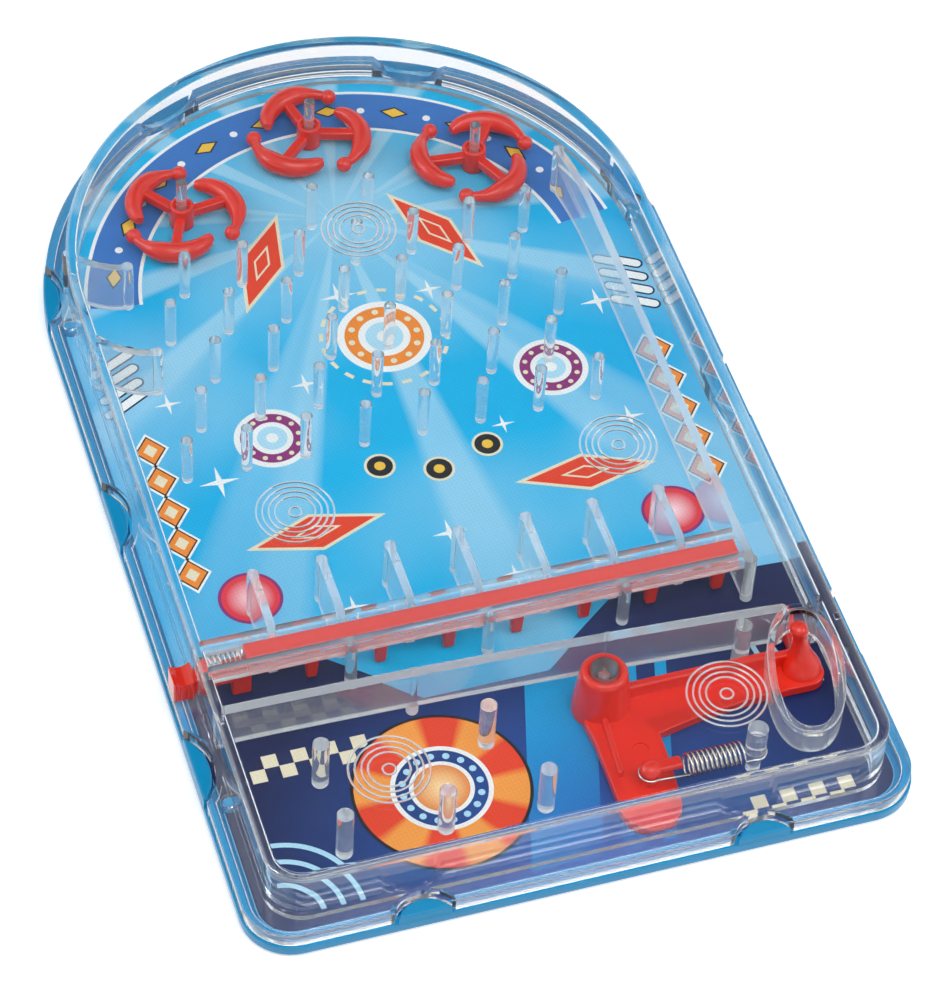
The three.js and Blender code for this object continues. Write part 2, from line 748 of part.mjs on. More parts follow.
// Release slider: a bar between the rails, hanging teeth, an arm through the wall and a knob outside it
function releaseSlider() {
  const half = barWidth / 2;
  const list = [box(barLeftX, barRightX, channelY - half, channelY + half, barBottom, barBottom + barHeight)];
  const toothRise = barBottom + overrun - playFloor;
  for (let i = 1; i < slotCount; i++) {
    const x = firstDividerX + (i - 0.5) * slotPitch;
    const corner = Math.SQRT2 / 2;
    const geometry = new THREE.CylinderGeometry(toothWidth * corner, toothFootWidth * corner, toothRise, 4);
    geometry.rotateY(Math.PI / 4).rotateX(Math.PI / 2).scale(1, toothDepth / toothWidth, 1);
    list.push(solidOf(geometry.translate(x, channelY, playFloor + toothRise / 2)));
  }
  const toothHalf = toothDepth / 2;
  list.push(box(endToothLeftX, endToothRightX, channelY - toothHalf, channelY + toothHalf,
    playFloor, endToothTop));
  const armHalf = armWidth / 2;
  list.push(box(-knobOuterX + overrun, endToothRightX - overrun, channelY - armHalf, channelY + armHalf,
    armTop - armHeight, armTop));
  const knobHalf = knobDepth / 2;
  const knobTopZ = knobBottom + knobHeight;
  const knob = box(-knobOuterX, -knobOuterX + knobLength, channelY - knobHalf, channelY + knobHalf,
    knobBottom, knobTopZ);
  const dipRadius = (knobLength ** 2 / 4 + knobDip ** 2) / (2 * knobDip);
  const dipGeometry = new THREE.CylinderGeometry(dipRadius, dipRadius, knobDepth + overrun, roundSides * 2);
  const dip = solidOf(dipGeometry.translate(-knobOuterX + knobLength / 2, channelY,
    knobTopZ - knobDip + dipRadius));
  list.push(knob.subtract(dip));
  return join(list);
}

// One curved paddle: a swept oval that swells and narrows, with a ball at its start
function paddle(startAngle) {
  const steps = paddleThickShares.length - 1;
  const sides = 8;
  const positions = [];
  const index = [];
  for (let i = 0; i <= steps; i++) {
    const share = i / steps;
    const angle = (startAngle + paddleSweepAngle * share) * degrees;
    const bow = 4 * paddleBow * share * (1 - share);
    const reach = paddleBallReach + (paddleTipReach - paddleBallReach) * share + bow;
    for (let k = 0; k < sides; k++) {
      const turn = 2 * Math.PI * k / sides;
      const out = reach + paddleThickShares[i] * paddleThickness / 2 * Math.cos(turn);
      const up = paddleZ + paddleThickShares[i] * paddleHeight / 2 * Math.sin(turn);
      positions.push(out * Math.cos(angle), out * Math.sin(angle), up);
    }
  }
  for (let i = 0; i < steps; i++) {
    for (let k = 0; k < sides; k++) {
      const a = i * sides + k;
      const b = i * sides + (k + 1) % sides;
      index.push(a, b + sides, b, a, a + sides, b + sides);
    }
  }
  const last = steps * sides;
  for (let k = 1; k < sides - 1; k++) {
    index.push(0, k, k + 1);
    index.push(last, last + k + 1, last + k);
  }
  const geometry = new THREE.BufferGeometry();
  geometry.setAttribute("position", new THREE.Float32BufferAttribute(positions, 3));
  geometry.setIndex(index);
  const ballX = paddleBallReach * Math.cos(startAngle * degrees);
  const ballY = paddleBallReach * Math.sin(startAngle * degrees);
  const ball = new THREE.SphereGeometry(paddleBallRadius, 10, 7).translate(ballX, ballY, paddleZ);
  return solidOf(geometry).add(solidOf(ball));
}

function spinner(x, y, phase) {
  const list = [post(0, 0, hubRadius, hubRadius, playFloor, hubTop)];
  for (let i = 0; i < spinnerArms; i++) {
    const start = phase + 360 / spinnerArms * i;
    const spokeGeometry = new THREE.BoxGeometry(spokeReach, spokeWidth, spokeHeight);
    spokeGeometry.translate(spokeReach / 2, 0, paddleZ).rotateZ((start + spokeAngle) * degrees);
    list.push(solidOf(spokeGeometry), paddle(start));
  }
  const boreRadius = spinnerPostDiameter / 2 + spinnerBoreGap;
  return join(list)
    .subtract(post(0, 0, hubCupRadius, hubCupRadius, hubTop - hubCupDepth, hubTop + overrun))
    .subtract(post(0, 0, boreRadius, boreRadius, 0, hubTop, pegSides * 2))
    .translate([x, y, 0]);
}

const bluePlastic = { color: 0x0b8fcb, roughness: 0.3, metalness: 0 };
const printedCard = { color: 0x19b3e6, roughness: 0.45, metalness: 0 };
const clearPlastic = { color: 0xe4edf2, roughness: 0.08, metalness: 0, transparent: true, opacity: 0.3 };
const redPlastic = { color: 0xe02010, roughness: 0.28, metalness: 0 };
const springSteel = { color: 0xc9c7c2, roughness: 0.22, metalness: 1 };
const ballSteel = { color: 0xd6d8da, roughness: 0.12, metalness: 1 };

const game = new THREE.Group();
game.name = "handheld_pinball_game";
game.position.y = -caseLength / 2;

function addPiece(name, geometry, finish) {
  const mesh = new THREE.Mesh(geometry, new THREE.MeshStandardMaterial(finish));
  mesh.name = name;
  game.add(mesh);
  return mesh;
}

addPiece("base_tray", geometryOf(baseTray()), bluePlastic);
addPiece("playfield_card", geometryOf(playfieldCard()), printedCard);
addPiece("clear_cover", geometryOf(clearCover()), clearPlastic);
pegPlaces().forEach(([name, x, y]) => {
  const radius = pegDiameter / 2;
  addPiece(name, geometryOf(post(x, y, radius, radius, playFloor, ceiling - clearance, pegSides)), clearPlastic);
});
addPiece("launcher_lever", geometryOf(launcherLever()), redPlastic);
addPiece("launcher_spring", launcherSpring(), springSteel);
addPiece("release_slider", geometryOf(releaseSlider()), redPlastic);
addPiece("slider_spring", sliderSpring(), springSteel);
spinnerPlaces.forEach(([x, y], i) => {
  addPiece(spinnerNames[i], geometryOf(spinner(x, y, spinnerPhases[i])), redPlastic);
});
ballSlots.forEach((slot, i) => {
  const ballRadius = ballDiameter / 2;
  const sideGap = (slotPitch - dividerThickness) / 2 - ballRadius - clearance;
  const x = firstDividerX + (slot - 1.5) * slotPitch + ballSides[i] * sideGap;
  const y = channelY + ballRest;
  const mesh = addPiece(`steel_ball_${i + 1}`, new THREE.SphereGeometry(ballRadius, roundSides, roundSides / 2),
    ballSteel);
  mesh.position.set(x, y, playFloor + ballRadius);
});

export default game;
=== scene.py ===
"""Looks of a handheld pinball game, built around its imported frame.

The file is laid out as an add-on: settings hold the sizes and colours, one operator makes each piece
or group of like pieces, and a panel in the sidebar lists them. Plan positions are metres to the right of
the case's middle and metres up from its front edge. Heights are metres above the table.
A shape is a drawing function with its values, and a part is one shape or a list of them.
"""

import math

import bmesh
import bpy
from bpy.props import FloatProperty, FloatVectorProperty, IntProperty, PointerProperty
from mathutils import Matrix, Vector


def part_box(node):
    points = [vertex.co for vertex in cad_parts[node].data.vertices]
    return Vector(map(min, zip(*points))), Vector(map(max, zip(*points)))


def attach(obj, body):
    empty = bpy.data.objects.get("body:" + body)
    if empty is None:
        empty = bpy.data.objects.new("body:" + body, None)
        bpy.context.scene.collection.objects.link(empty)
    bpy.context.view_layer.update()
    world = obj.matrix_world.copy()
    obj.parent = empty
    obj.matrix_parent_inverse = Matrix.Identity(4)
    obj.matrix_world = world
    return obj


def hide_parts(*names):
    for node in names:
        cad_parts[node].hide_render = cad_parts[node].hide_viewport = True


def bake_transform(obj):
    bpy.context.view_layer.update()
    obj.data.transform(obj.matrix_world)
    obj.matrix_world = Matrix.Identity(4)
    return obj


bl_info = {
    "name": "Handheld pinball game",
    "version": (1, 0, 0),
    "blender": (4, 5, 0),
    "location": "View3D > Sidebar > Pinball",
    "description": "Builds the dressed pieces of a handheld pinball game",
    "category": "Object",
}

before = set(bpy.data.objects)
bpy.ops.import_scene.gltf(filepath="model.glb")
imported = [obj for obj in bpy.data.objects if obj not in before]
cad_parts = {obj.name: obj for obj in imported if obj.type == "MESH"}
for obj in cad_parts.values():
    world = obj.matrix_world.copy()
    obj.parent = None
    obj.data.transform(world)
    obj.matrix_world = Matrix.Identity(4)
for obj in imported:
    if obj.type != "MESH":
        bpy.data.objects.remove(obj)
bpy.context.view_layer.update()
TRAY_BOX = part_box("base_tray")
CARD_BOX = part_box("playfield_card")

MM = 0.001
FRONT = TRAY_BOX[0].y
CASE_WIDTH = TRAY_BOX[1].x - TRAY_BOX[0].x
CASE_LENGTH = TRAY_BOX[1].y - TRAY_BOX[0].y
ARCH_RADIUS = CASE_WIDTH / 2
ARCH_Y = CASE_LENGTH - ARCH_RADIUS
CARD_TOP = CARD_BOX[1].z
QUARTER = math.pi / 2
FULL = 2 * math.pi
# Distance at which points count as one, and the kind of a shader group's sockets
MERGED = 1e-7
FLOAT = "NodeSocketFloat"
# How deep the print is sunk into the card
PRINT_ROOT = 0.05 * MM
# The lever's hook post from its pivot, to the right and to the front, and the length of its lip
HOOK = (2.8 * MM, 22 * MM)
HOOK_LIP = 6.4 * MM
# The five groups of raised rings
RING_PLACES = [(x * MM, y * MM) for x, y in ((-35.2, 26.3), (35.2, 26.3), (-35.2, 94.5), (35.2, 94.5),
                                             (0, 168.5))]
RING_RADII = [radius * MM for radius in (8.1, 6.8, 5.5, 4.2, 1.3)]


# Settings

def length(name, millimetres, description):
    """A size in metres, given in millimetres."""
    return FloatProperty(name=name, description=description, default=millimetres * MM,
                         unit="LENGTH", precision=5)


def colour(name, red, green, blue, description):
    """A linear colour."""
    return FloatVectorProperty(name=name, description=description, default=(red, green, blue),
                               subtype="COLOR", size=3, min=0, max=1)


def share(name, value, description):
    """A plain factor."""
    return FloatProperty(name=name, description=description, default=value, subtype="FACTOR")


def angle(name, degrees, description):
    """An angle in radians, given in degrees."""
    return FloatProperty(name=name, description=description, default=math.radians(degrees), subtype="ANGLE")


class PINBALL_PG_tray(bpy.types.PropertyGroup):
    """Sizes of the blue tray."""

    rim_height: length("Rim height", 3, "Height of the tray's rim")
    rim_width: length("Rim width", 2, "Thickness of the tray's rim")
    floor: length("Floor", 1.4, "Thickness of the floor")
    corner: length("Corner", 10.5, "Radius of the front corners")
    foot_round: length("Foot rounding", 1.1, "Rounding of the lower edge")
    pad_height: length("Pad height", 5.2, "Height of the clip pads")
    pad_gap: length("Pad gap", 0.9, "Gap between a pad and its notch")
    pin_x: length("Pin offset", 65.2, "Distance of the locating pins from the middle")
    pin_diameter: length("Pin diameter", 2.6, "Diameter of the locating pins")


class PINBALL_PG_cover(bpy.types.PropertyGroup):
    """Sizes of the clear cover."""

    flange_low: length("Flange underside", 3.3, "Height of the flange's underside")
    flange_top: length("Flange top", 6.5, "Height of the flange's top")
    flange_plate: length("Flange plate", 1.9, "Thickness of the flange over its channel")
    flange_inset: length("Flange inset", 0.4, "Distance of the flange inside the tray's edge")
    skirt: length("Skirt", 1.8, "Thickness of the flange's skirt")
    dome_inset: length("Dome inset", 5.3, "Distance of the dome inside the tray's edge")
    dome_corner: length("Dome corner", 8, "Radius of the dome's front corners")
    dome_top: length("Dome top", 17.7, "Height of the dome's top")
    dome_round: length("Dome rounding", 0.7, "Rounding of the dome's top edge")
    wall: length("Wall", 2, "Thickness of the dome's wall and plate")
    notch_wall: length("Notch wall", 1.2, "Thickness of the wall round a notch")
    foot: length("Foot", 2.8, "Height of the lowest ends of pegs and walls")
    peg: length("Peg diameter", 2.6, "Diameter of a peg")
    peg_pitch_x: length("Peg column pitch", 13, "Distance of the peg columns")
    peg_pitch_y: length("Peg row pitch", 12.9, "Distance of the peg rows")
    slot_pitch: length("Slot pitch", 14.6, "Distance of the slot walls")
    slot_wall: length("Slot wall", 1.8, "Thickness of the slot walls")
    channel_y: length("Channel place", 63.4, "Distance of the slider's channel from the front edge")
    channel: length("Channel width", 4.8, "Width of the slider's channel")
    rail: length("Rail", 2, "Thickness of the channel's rails")
    rail_depth: length("Rail depth", 3.1, "Depth of the rails under the plate")
    shelf_y: length("Shelf place", 47.6, "Distance of the return shelf's middle from the front edge")
    shelf_foot: length("Shelf foot", 5.7, "Height of the return shelf's lower edge")
    lane_x: length("Lane wall", 52.2, "Distance of the lane's wall from the middle")
    well_lip: length("Well lip", 0.5, "Height of the finger well's lip")
    well_foot: length("Well foot", 10.5, "Height of the finger well's lower end")
    well_wall: length("Well wall", 1.5, "Thickness of the finger well's wall")
    ridge: length("Ridge", 0.5, "Width of a raised ring")
    ridge_height: length("Ridge height", 0.22, "Height of a raised ring")


class PINBALL_PG_lever(bpy.types.PropertyGroup):
    """Sizes of the launch lever and its spring."""

    pivot_x: length("Pivot X", 14, "Distance of the pivot from the middle")
    pivot_y: length("Pivot Y", 39.7, "Distance of the pivot from the front edge")
    web: length("Web", 2.3, "Thickness of the web")
    boss_top: length("Boss top", 15.2, "Height of the boss")
    boss_radius: length("Boss radius", 4.95, "Radius of the boss at its top")
    boss_foot: length("Boss foot", 6.1, "Radius of the boss at its foot")
    bore: length("Bore", 3.2, "Radius of the boss's bore")
    rib: length("Rib", 1.9, "Thickness of the arm's rib")
    rib_rise: length("Rib rise", 3.3, "Height of the arm's rib over the web")
    wire: length("Wire", 0.5, "Diameter of the spring's wire")
    coil_radius: length("Coil radius", 2.35, "Radius of the spring's coil")
    coil_height: length("Coil height", 8.3, "Height of the spring's axis")
    post_x: length("Spring post X", 38.8, "Distance of the spring's post from the middle")
    post_y: length("Spring post Y", 17.2, "Distance of the spring's post from the front edge")
    turns: IntProperty(name="Turns", description="Turns of the launch spring", default=12, min=1)


class PINBALL_PG_slider(bpy.types.PropertyGroup):
    """Sizes of the release slider and its spring."""

    bar: length("Bar", 4, "Width and height of the bar")
    bar_low: length("Bar underside", 11.2, "Height of the bar's underside")
    bar_left: length("Bar left", -54.5, "Left end of the bar")
    bar_right: length("Bar right", 50.6, "Right end of the bar")
    tooth: length("Tooth", 3.3, "Width of a tooth at the bar")
    tooth_foot: length("Tooth foot", 2.3, "Width of a tooth at its foot")
    tooth_depth: length("Tooth depth", 2.4, "Depth of a tooth")
    knob_outer: length("Knob end", -69.8, "Outer end of the knob")
    knob: length("Knob", 4.6, "Length of the knob")
    spring_z: length("Spring height", 13.85, "Height of the return spring's axis")
    spring_radius: length("Spring radius", 1.38, "Radius of the return spring's coil")
    spring_wire: length("Spring wire", 0.4, "Diameter of the return spring's wire")


class PINBALL_PG_spinner(bpy.types.PropertyGroup):
    """Sizes of the three spinners."""

    hub: length("Hub", 2.75, "Radius of the hub")
    hub_top: length("Hub top", 8.6, "Height of the hub")
    middle: length("Paddle height", 5.6, "Height of the paddles' middle")
    ball: length("Ball", 1.75, "Radius of a paddle's ball")
    ball_reach: length("Ball reach", 12.6, "Distance of a ball from the hub's axis")
    tip_reach: length("Tip reach", 9.6, "Distance of a paddle's tip from the hub's axis")
    bow: length("Bow", 0.9, "Outward bow of a paddle")
    thick: length("Thickness", 4.6, "Thickness of a paddle")
    tall: length("Depth", 4.8, "Height of a paddle")
    spoke: length("Spoke", 2.2, "Width of a spoke")


class PINBALL_PG_print(bpy.types.PropertyGroup):
    """Sizes and colours of the card's print."""

    margin: length("Margin", 3.7, "Distance of the dark ground from the tray's edge")
    film: length("Film", 0.02, "Thickness that each layer of print shows above the last")
    sky: colour("Sky", 0.0, 0.43, 0.76, "Blue of the field")
    light: colour("Light", 0.42, 0.70, 0.85, "Pale blue of the rays")
    navy: colour("Navy", 0.008, 0.014, 0.07, "Dark blue of the bands")
    violet: colour("Violet", 0.02, 0.10, 0.42, "Blue of the shaded edges")
    band: colour("Band", 0.04, 0.17, 0.5, "Blue of the arch band")
    white: colour("White", 0.86, 0.87, 0.85, "White lines")
    cream: colour("Cream", 0.80, 0.72, 0.52, "Cream borders and dashes")
    red: colour("Red", 0.78, 0.055, 0.02, "Red shapes")
    orange: colour("Orange", 0.86, 0.25, 0.03, "Orange shapes")
    yellow: colour("Yellow", 0.85, 0.52, 0.06, "Yellow dashes")
    black: colour("Black", 0.012, 0.013, 0.016, "Black outlines")
    plum: colour("Plum", 0.26, 0.03, 0.17, "Plum marks")


class PINBALL_PG_finish(bpy.types.PropertyGroup):
    """Colours of the mouldings and metals."""

    blue: colour("Blue plastic", 0.0, 0.28, 0.57, "Colour of the tray")
    red: colour("Red plastic", 0.80, 0.022, 0.008, "Colour of the lever, slider and spinners")
    clear: colour("Clear plastic", 0.955, 0.975, 0.985, "Colour of the cover")
    # Haze and shelf haze are partly the plastic's own milkiness and partly painted sheen of the bright
    # surroundings on walls, pegs and shelf.
    haze: share("Haze", 0.12, "Milky share of the walls and pegs under the cover")
    wall_haze: share("Wall haze", 0.02, "Milky share of the cover's outer wall")
    shelf_haze: share("Shelf haze", 0.08, "Milky share of the return shelf")
    # Painted reflection: a lit white in the plate over the slider's channel, which lightens the bar seen
    # through it.
    painted_channel_reflection: share("Channel haze", 0.07, "Milky share of the plate over the slider")
    # Painted glow: a lit white at the feet of pegs and walls and at the shelf's lower edge, where light carried
    # in the plastic comes out.
    painted_foot_glow: share("Edge haze", 0.4, "Milky share that the feet of pegs and walls have beside that")
    # Painted highlight: a lit white on the raised rings.
    ring_haze: share("Ring haze", 0.5, "Milky share of the raised rings")
    # Painted highlight: a lit white along the dome's upper edge.
    painted_rim_highlight: share("Rim haze", 0.2, "Milky share of the dome's upper edge")
    steel: colour("Spring steel", 0.62, 0.60, 0.56, "Colour of the springs")
    chrome: colour("Ball steel", 0.72, 0.73, 0.75, "Colour of the balls")


class PINBALL_PG_stage(bpy.types.PropertyGroup):
    """The camera's place and the lamps' strength."""

    heading: angle("Heading", -20.286, "Camera's turn about the vertical")
    rise: angle("Rise", 49.807, "Camera's height angle")
    roll: angle("Roll", 3.933, "Camera's roll")
    distance: length("Distance", 882, "Distance of the camera from its target")
    target_x: length("Target X", 6.555, "Target's distance from the middle")
    target_y: length("Target Y", 101.917, "Target's distance from the front edge")
    lens: FloatProperty(name="Lens", description="Focal length in millimetres", default=157.5)
    key: FloatProperty(name="Top lamp", description="Power of the lamp above in watts", default=5.7)
    fill: FloatProperty(name="Side lamps", description="Power of each side lamp in watts", default=2.5)
    ambient: share("Ambient light", 0.3, "Strength of the surroundings on matt surfaces")
    ceiling: colour("Screen colour", 0.18, 0.19, 0.2,
                    "Colour of the dark screen that the flat cover mirrors")
    screen: angle("Screen", 12, "Half the width of the dark screen")


class PINBALL_PG_game(bpy.types.PropertyGroup):
    """All settings of the game."""

    tray: PointerProperty(type=PINBALL_PG_tray)
    cover: PointerProperty(type=PINBALL_PG_cover)
    lever: PointerProperty(type=PINBALL_PG_lever)
    slider: PointerProperty(type=PINBALL_PG_slider)
    spinner: PointerProperty(type=PINBALL_PG_spinner)
    print: PointerProperty(type=PINBALL_PG_print)
    finish: PointerProperty(type=PINBALL_PG_finish)
    stage: PointerProperty(type=PINBALL_PG_stage)


# Plans

def spot(x, y, z=0.0):
    """A point of the row frame, from a plan position and a height."""
    return Vector((x, FRONT + y, z))


def mm(*rows):
    """Rows of millimetres in metres."""
    return [tuple(value * MM for value in row) for row in rows]


def arc(x, y, radius, start, end, steps):
    """Plan points on an arc, both ends included."""
    return [(x + radius * math.cos(start + (end - start) * i / steps),
             y + radius * math.sin(start + (end - start) * i / steps)) for i in range(steps + 1)]


def disc(x, y, radius, steps=64):
    return arc(x, y, radius, 0, FULL, steps)[:-1]


def sector(x, y, inner, outer, start, end, steps):
    """Plan of a part of a ring."""
    return arc(x, y, outer, start, end, steps) + arc(x, y, inner, end, start, steps)


def case_outline(inset, corner):
    """The case's plan drawn in by a distance."""
    arch_steps, corner_steps = 96, 10
    half = ARCH_RADIUS - inset
    right = half - corner
    low = inset + corner
    return [
        *arc(right, low, corner, -QUARTER, 0, corner_steps),
        *arc(0, ARCH_Y, half, 0, math.pi, arch_steps),
        *arc(-right, low, corner, math.pi, math.pi + QUARTER, corner_steps),
    ]


def bar_outline(path, thickness):
    """Plan of a wall along a path, with round ends."""
    end_steps, half = 6, thickness / 2
    left, right = [], []
    for i, (x, y) in enumerate(path):
        x0, y0 = path[max(i - 1, 0)]
        x1, y1 = path[min(i + 1, len(path) - 1)]
        size = math.hypot(x1 - x0, y1 - y0)
        dx, dy = (x1 - x0) / size * half, (y1 - y0) / size * half
        left.append((x - dy, y + dx))
        right.append((x + dy, y - dx))
    tail, head = (math.atan2(b[1] - a[1], b[0] - a[0]) for a, b in (path[-2:], path[:2]))
    far_end = arc(*path[-1], half, tail - QUARTER, tail + QUARTER, end_steps)
    near_end = arc(*path[0], half, head + QUARTER, head + 3 * QUARTER, end_steps)
    return right[:-1] + far_end + left[::-1][1:-1] + near_end if len(path) > 2 else far_end + near_end


def bend(start, control, end, steps=8):
    """Plan points on a quadratic curve."""
    shares = [i / steps for i in range(steps + 1)]
    return [tuple((1 - t) ** 2 * a + 2 * t * (1 - t) * b + t * t * c
                  for a, b, c in zip(start, control, end)) for t in shares]


def placed(points, x, y, turn):
    """Plan points turned about the origin and then moved."""
    c, s = math.cos(turn), math.sin(turn)
    return [(x + px * c - py * s, y + px * s + py * c) for px, py in points]


def oval_outline(x, y, half_width, half_length, lean):
    """Plan of a leaning rounded oval."""
    power, steps = 2.3, 64
    points = []
    for i in range(steps):
        c, s = math.cos(FULL * i / steps), math.sin(FULL * i / steps)
        points.append((math.copysign(abs(c) ** (2 / power), c) * half_width,
                       math.copysign(abs(s) ** (2 / power), s) * half_length))
    return placed(points, x, y, lean)


def polygon(x, y, radius, sides, turn, squeeze=1.0, star=1.0):
    """Plan of a regular shape. A star share under 1 draws every other corner in."""
    points = []
    for i in range(sides):
        reach = radius * (star if i % 2 else 1)
        points.append((reach * math.cos(FULL * i / sides), reach * math.sin(FULL * i / sides) * squeeze))
    return placed(points, x, y, turn)


# Solids

def round_edges(bm, edges, rounding, segments):
    """Rounds edges, each of which may be given more than once."""
    bmesh.ops.bevel(bm, geom=list(set(edges)), offset=rounding, offset_type="OFFSET", affect="EDGES",
                    segments=segments, profile=0.5, material=-1, clamp_overlap=True)


def prism(bm, outline, low, high, top_round=0.0, foot_round=0.0, segments=3):
    """An upright prism on a plan outline, with its upper and lower edges rounded."""
    floor_verts = [bm.verts.new(spot(x, y, low)) for x, y in outline]
    floor_face = bm.faces.new(floor_verts)
    made = bmesh.ops.extrude_face_region(bm, geom=[floor_face])["geom"]
    top_verts = [v for v in made if isinstance(v, bmesh.types.BMVert)]
    bmesh.ops.translate(bm, verts=top_verts, vec=(0, 0, high - low))
    faces = {f for v in floor_verts + top_verts for f in v.link_faces}
    bmesh.ops.recalc_face_normals(bm, faces=list(faces))
    for ring, rounding in ((top_verts, top_round), (floor_verts, foot_round)):
        if rounding:
            inside = set(ring)
            edges = [e for v in ring for e in v.link_edges if e.other_vert(v) in inside]
            round_edges(bm, edges, rounding, segments)


def lathe(bm, profile, x, y, steps):
    """A solid of revolution about an upright axis, from (radius, height) points."""
    verts = [bm.verts.new(spot(x + radius, y, z)) for radius, z in profile]
    edges = [bm.edges.new(pair) for pair in zip(verts, verts[1:])]
    if profile[0][0] > 0:
        edges.append(bm.edges.new((verts[-1], verts[0])))
    before = set(bm.faces)
    bmesh.ops.spin(bm, geom=verts + edges, cent=spot(x, y), axis=(0, 0, 1), angle=FULL, steps=steps,
                   use_merge=True)
    made = [f for f in bm.faces if f not in before]
    near_axis = {v for f in made for v in f.verts if (v.co.xy - spot(x, y).xy).length < MERGED}
    bmesh.ops.remove_doubles(bm, verts=list(near_axis), dist=MERGED)
    bmesh.ops.recalc_face_normals(bm, faces=[f for f in bm.faces if f not in before])


def post(bm, x, y, radius, low, high, steps, foot=None):
    """An upright round post with a rounded lower end, which may taper to a foot."""
    foot, rounding = foot or radius, 0.35 * MM
    profile = [(0, low), (foot - rounding, low), (foot - rounding * 0.3, low + rounding * 0.3),
               (foot, low + rounding), (radius, high), (0, high)]
    lathe(bm, profile, x, y, steps)


def cube(bm, size, middle):
    """The vertices of a box of a size about its middle."""
    made = bmesh.ops.create_cube(bm, size=1)["verts"]
    bmesh.ops.scale(bm, verts=made, vec=size)
    bmesh.ops.translate(bm, verts=made, vec=middle)
    return made


def block(bm, x0, x1, y0, y1, z0, z1, rounding=0.0, segments=2):
    """A box between two corners with all its edges rounded."""
    made = cube(bm, (x1 - x0, y1 - y0, z1 - z0), spot((x0 + x1) / 2, (y0 + y1) / 2, (z0 + z1) / 2))
    if rounding:
        round_edges(bm, [e for v in made for e in v.link_edges], rounding, segments)


def rod(bm, root, tip, depth, axis, middle, segments):
    """A round rod that lies along X or Y, from its two radii."""
    made = bmesh.ops.create_cone(bm, cap_ends=True, segments=segments, radius1=root, radius2=tip,
                                 depth=depth)["verts"]
    bmesh.ops.rotate(bm, verts=made, cent=(0, 0, 0), matrix=Matrix.Rotation(QUARTER, 3, axis))
    bmesh.ops.translate(bm, verts=made, vec=middle)


def ball(bm, centre, radius, detail):
    """A sphere of triangles."""
    bmesh.ops.create_icosphere(bm, subdivisions=detail, radius=radius,
                               matrix=Matrix.Translation(centre))


def loft(bm, sections):
    """A closed skin over a row of rings of points."""
    loops = []
    for ring in sections:
        verts = [bm.verts.new(point) for point in ring]
        loops.append([bm.edges.new((verts[i], verts[(i + 1) % len(verts)])) for i in range(len(verts))])
    faces = []
    for first, second in zip(loops, loops[1:]):
        faces += bmesh.ops.bridge_loops(bm, edges=first + second)["faces"]
    for loop in (loops[0], loops[-1]):
        faces += bmesh.ops.contextual_create(bm, geom=loop)["faces"]
    bmesh.ops.recalc_face_normals(bm, faces=faces)


def linked(name, data):
    """A new object of the scene."""
    obj = bpy.data.objects.new(name, data)
    bpy.context.scene.collection.objects.link(obj)
    return obj


def solid(part, name="part"):
    """An object from one shape or a list of them, or the object itself."""
    if isinstance(part, bpy.types.Object):
        return part
    bm = bmesh.new()
    for draw, *values in part if isinstance(part, list) else [part]:
        draw(bm, *values)
    mesh = bpy.data.meshes.new(name)
    bm.to_mesh(mesh)
    bm.free()
    return linked(name, mesh)


def evaluated_mesh(obj):
    """The mesh that an object shows, as a copy."""
    bpy.context.view_layer.update()
    return bpy.data.meshes.new_from_object(obj.evaluated_get(bpy.context.evaluated_depsgraph_get()))


def combine(target, tool, operation):
    """Joins a solid to another, or cuts it out, and removes the tool."""
    modifier = target.modifiers.new(operation, "BOOLEAN")
    modifier.operation = operation
    modifier.solver = "MANIFOLD"
    modifier.object = tool
    mesh = evaluated_mesh(target)
    if not mesh.polygons:
        raise RuntimeError(f"joining {tool.name} left nothing of {target.name}")
    target.modifiers.clear()
    spent = (target.data, tool.data)
    target.data = mesh
    bpy.data.objects.remove(tool)
    for old in spent:
        bpy.data.meshes.remove(old)


def assemble(name, first, *steps):
    """One piece from its first part and steps, each a joining operation with the parts it takes in turn."""
    piece = solid(first)
    for operation, *parts in steps:
        for part in parts:
            combine(piece, solid(part), operation)
    piece.name = name
    piece.data.name = name
    return piece


def dress(piece, material, body, nodes=(), smooth=35):
    """Shades a piece, gives it its material and hangs it on its body."""
    piece.data.shade_smooth()
    piece.data.set_sharp_from_angle(angle=math.radians(smooth))
    level = piece.modifiers.new("flat_faces", "WEIGHTED_NORMAL")
    level.mode = "FACE_AREA"
    level.weight = 100
    level.keep_sharp = True
    piece.data.materials.clear()
    piece.data.materials.append(material)
    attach(piece, body)
    if nodes:
        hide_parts(*nodes)


# Shader parts

def node(tree, kind, inputs=(), **settings):
    """A node with its settings. Each input is given a value, or a socket that it is linked to."""
    made = tree.nodes.new("ShaderNode" + kind)
    for key, value in settings.items():
        setattr(made, key, value)
    for key, value in dict(inputs).items():
        socket = made.inputs[key]
        if isinstance(value, bpy.types.NodeSocket):
            tree.links.new(value, socket)
        else:
            socket.default_value = (*value, 1) if socket.type == "RGBA" else value
    return made


def maths(tree, operation, *operands, clamp=False):
    """A Math node's output."""
    return node(tree, "Math", enumerate(operands), operation=operation, use_clamp=clamp).outputs[0]


def ramp(tree, value, start, end, low=0.0, high=1.0):
    """A value carried from one range to another and held at its ends."""
    return node(tree, "MapRange", {"Value": value, "From Min": start, "From Max": end, "To Min": low,
                                   "To Max": high}).outputs[0]


def noise(tree, place, scale, detail, roughness):
    return node(tree, "TexNoise", {"Vector": place, "Scale": scale, "Detail": detail,
                                   "Roughness": roughness}).outputs["Fac"]


def object_place(tree):
    return node(tree, "TexCoord").outputs["Object"]


def axes_about(tree, *centre):
    """The shaded point's X and Y from a plan position."""
    centred = node(tree, "Mapping", {"Vector": object_place(tree), "Location": -spot(*centre)})
    return node(tree, "SeparateXYZ", {0: centred.outputs[0]}).outputs[:2]


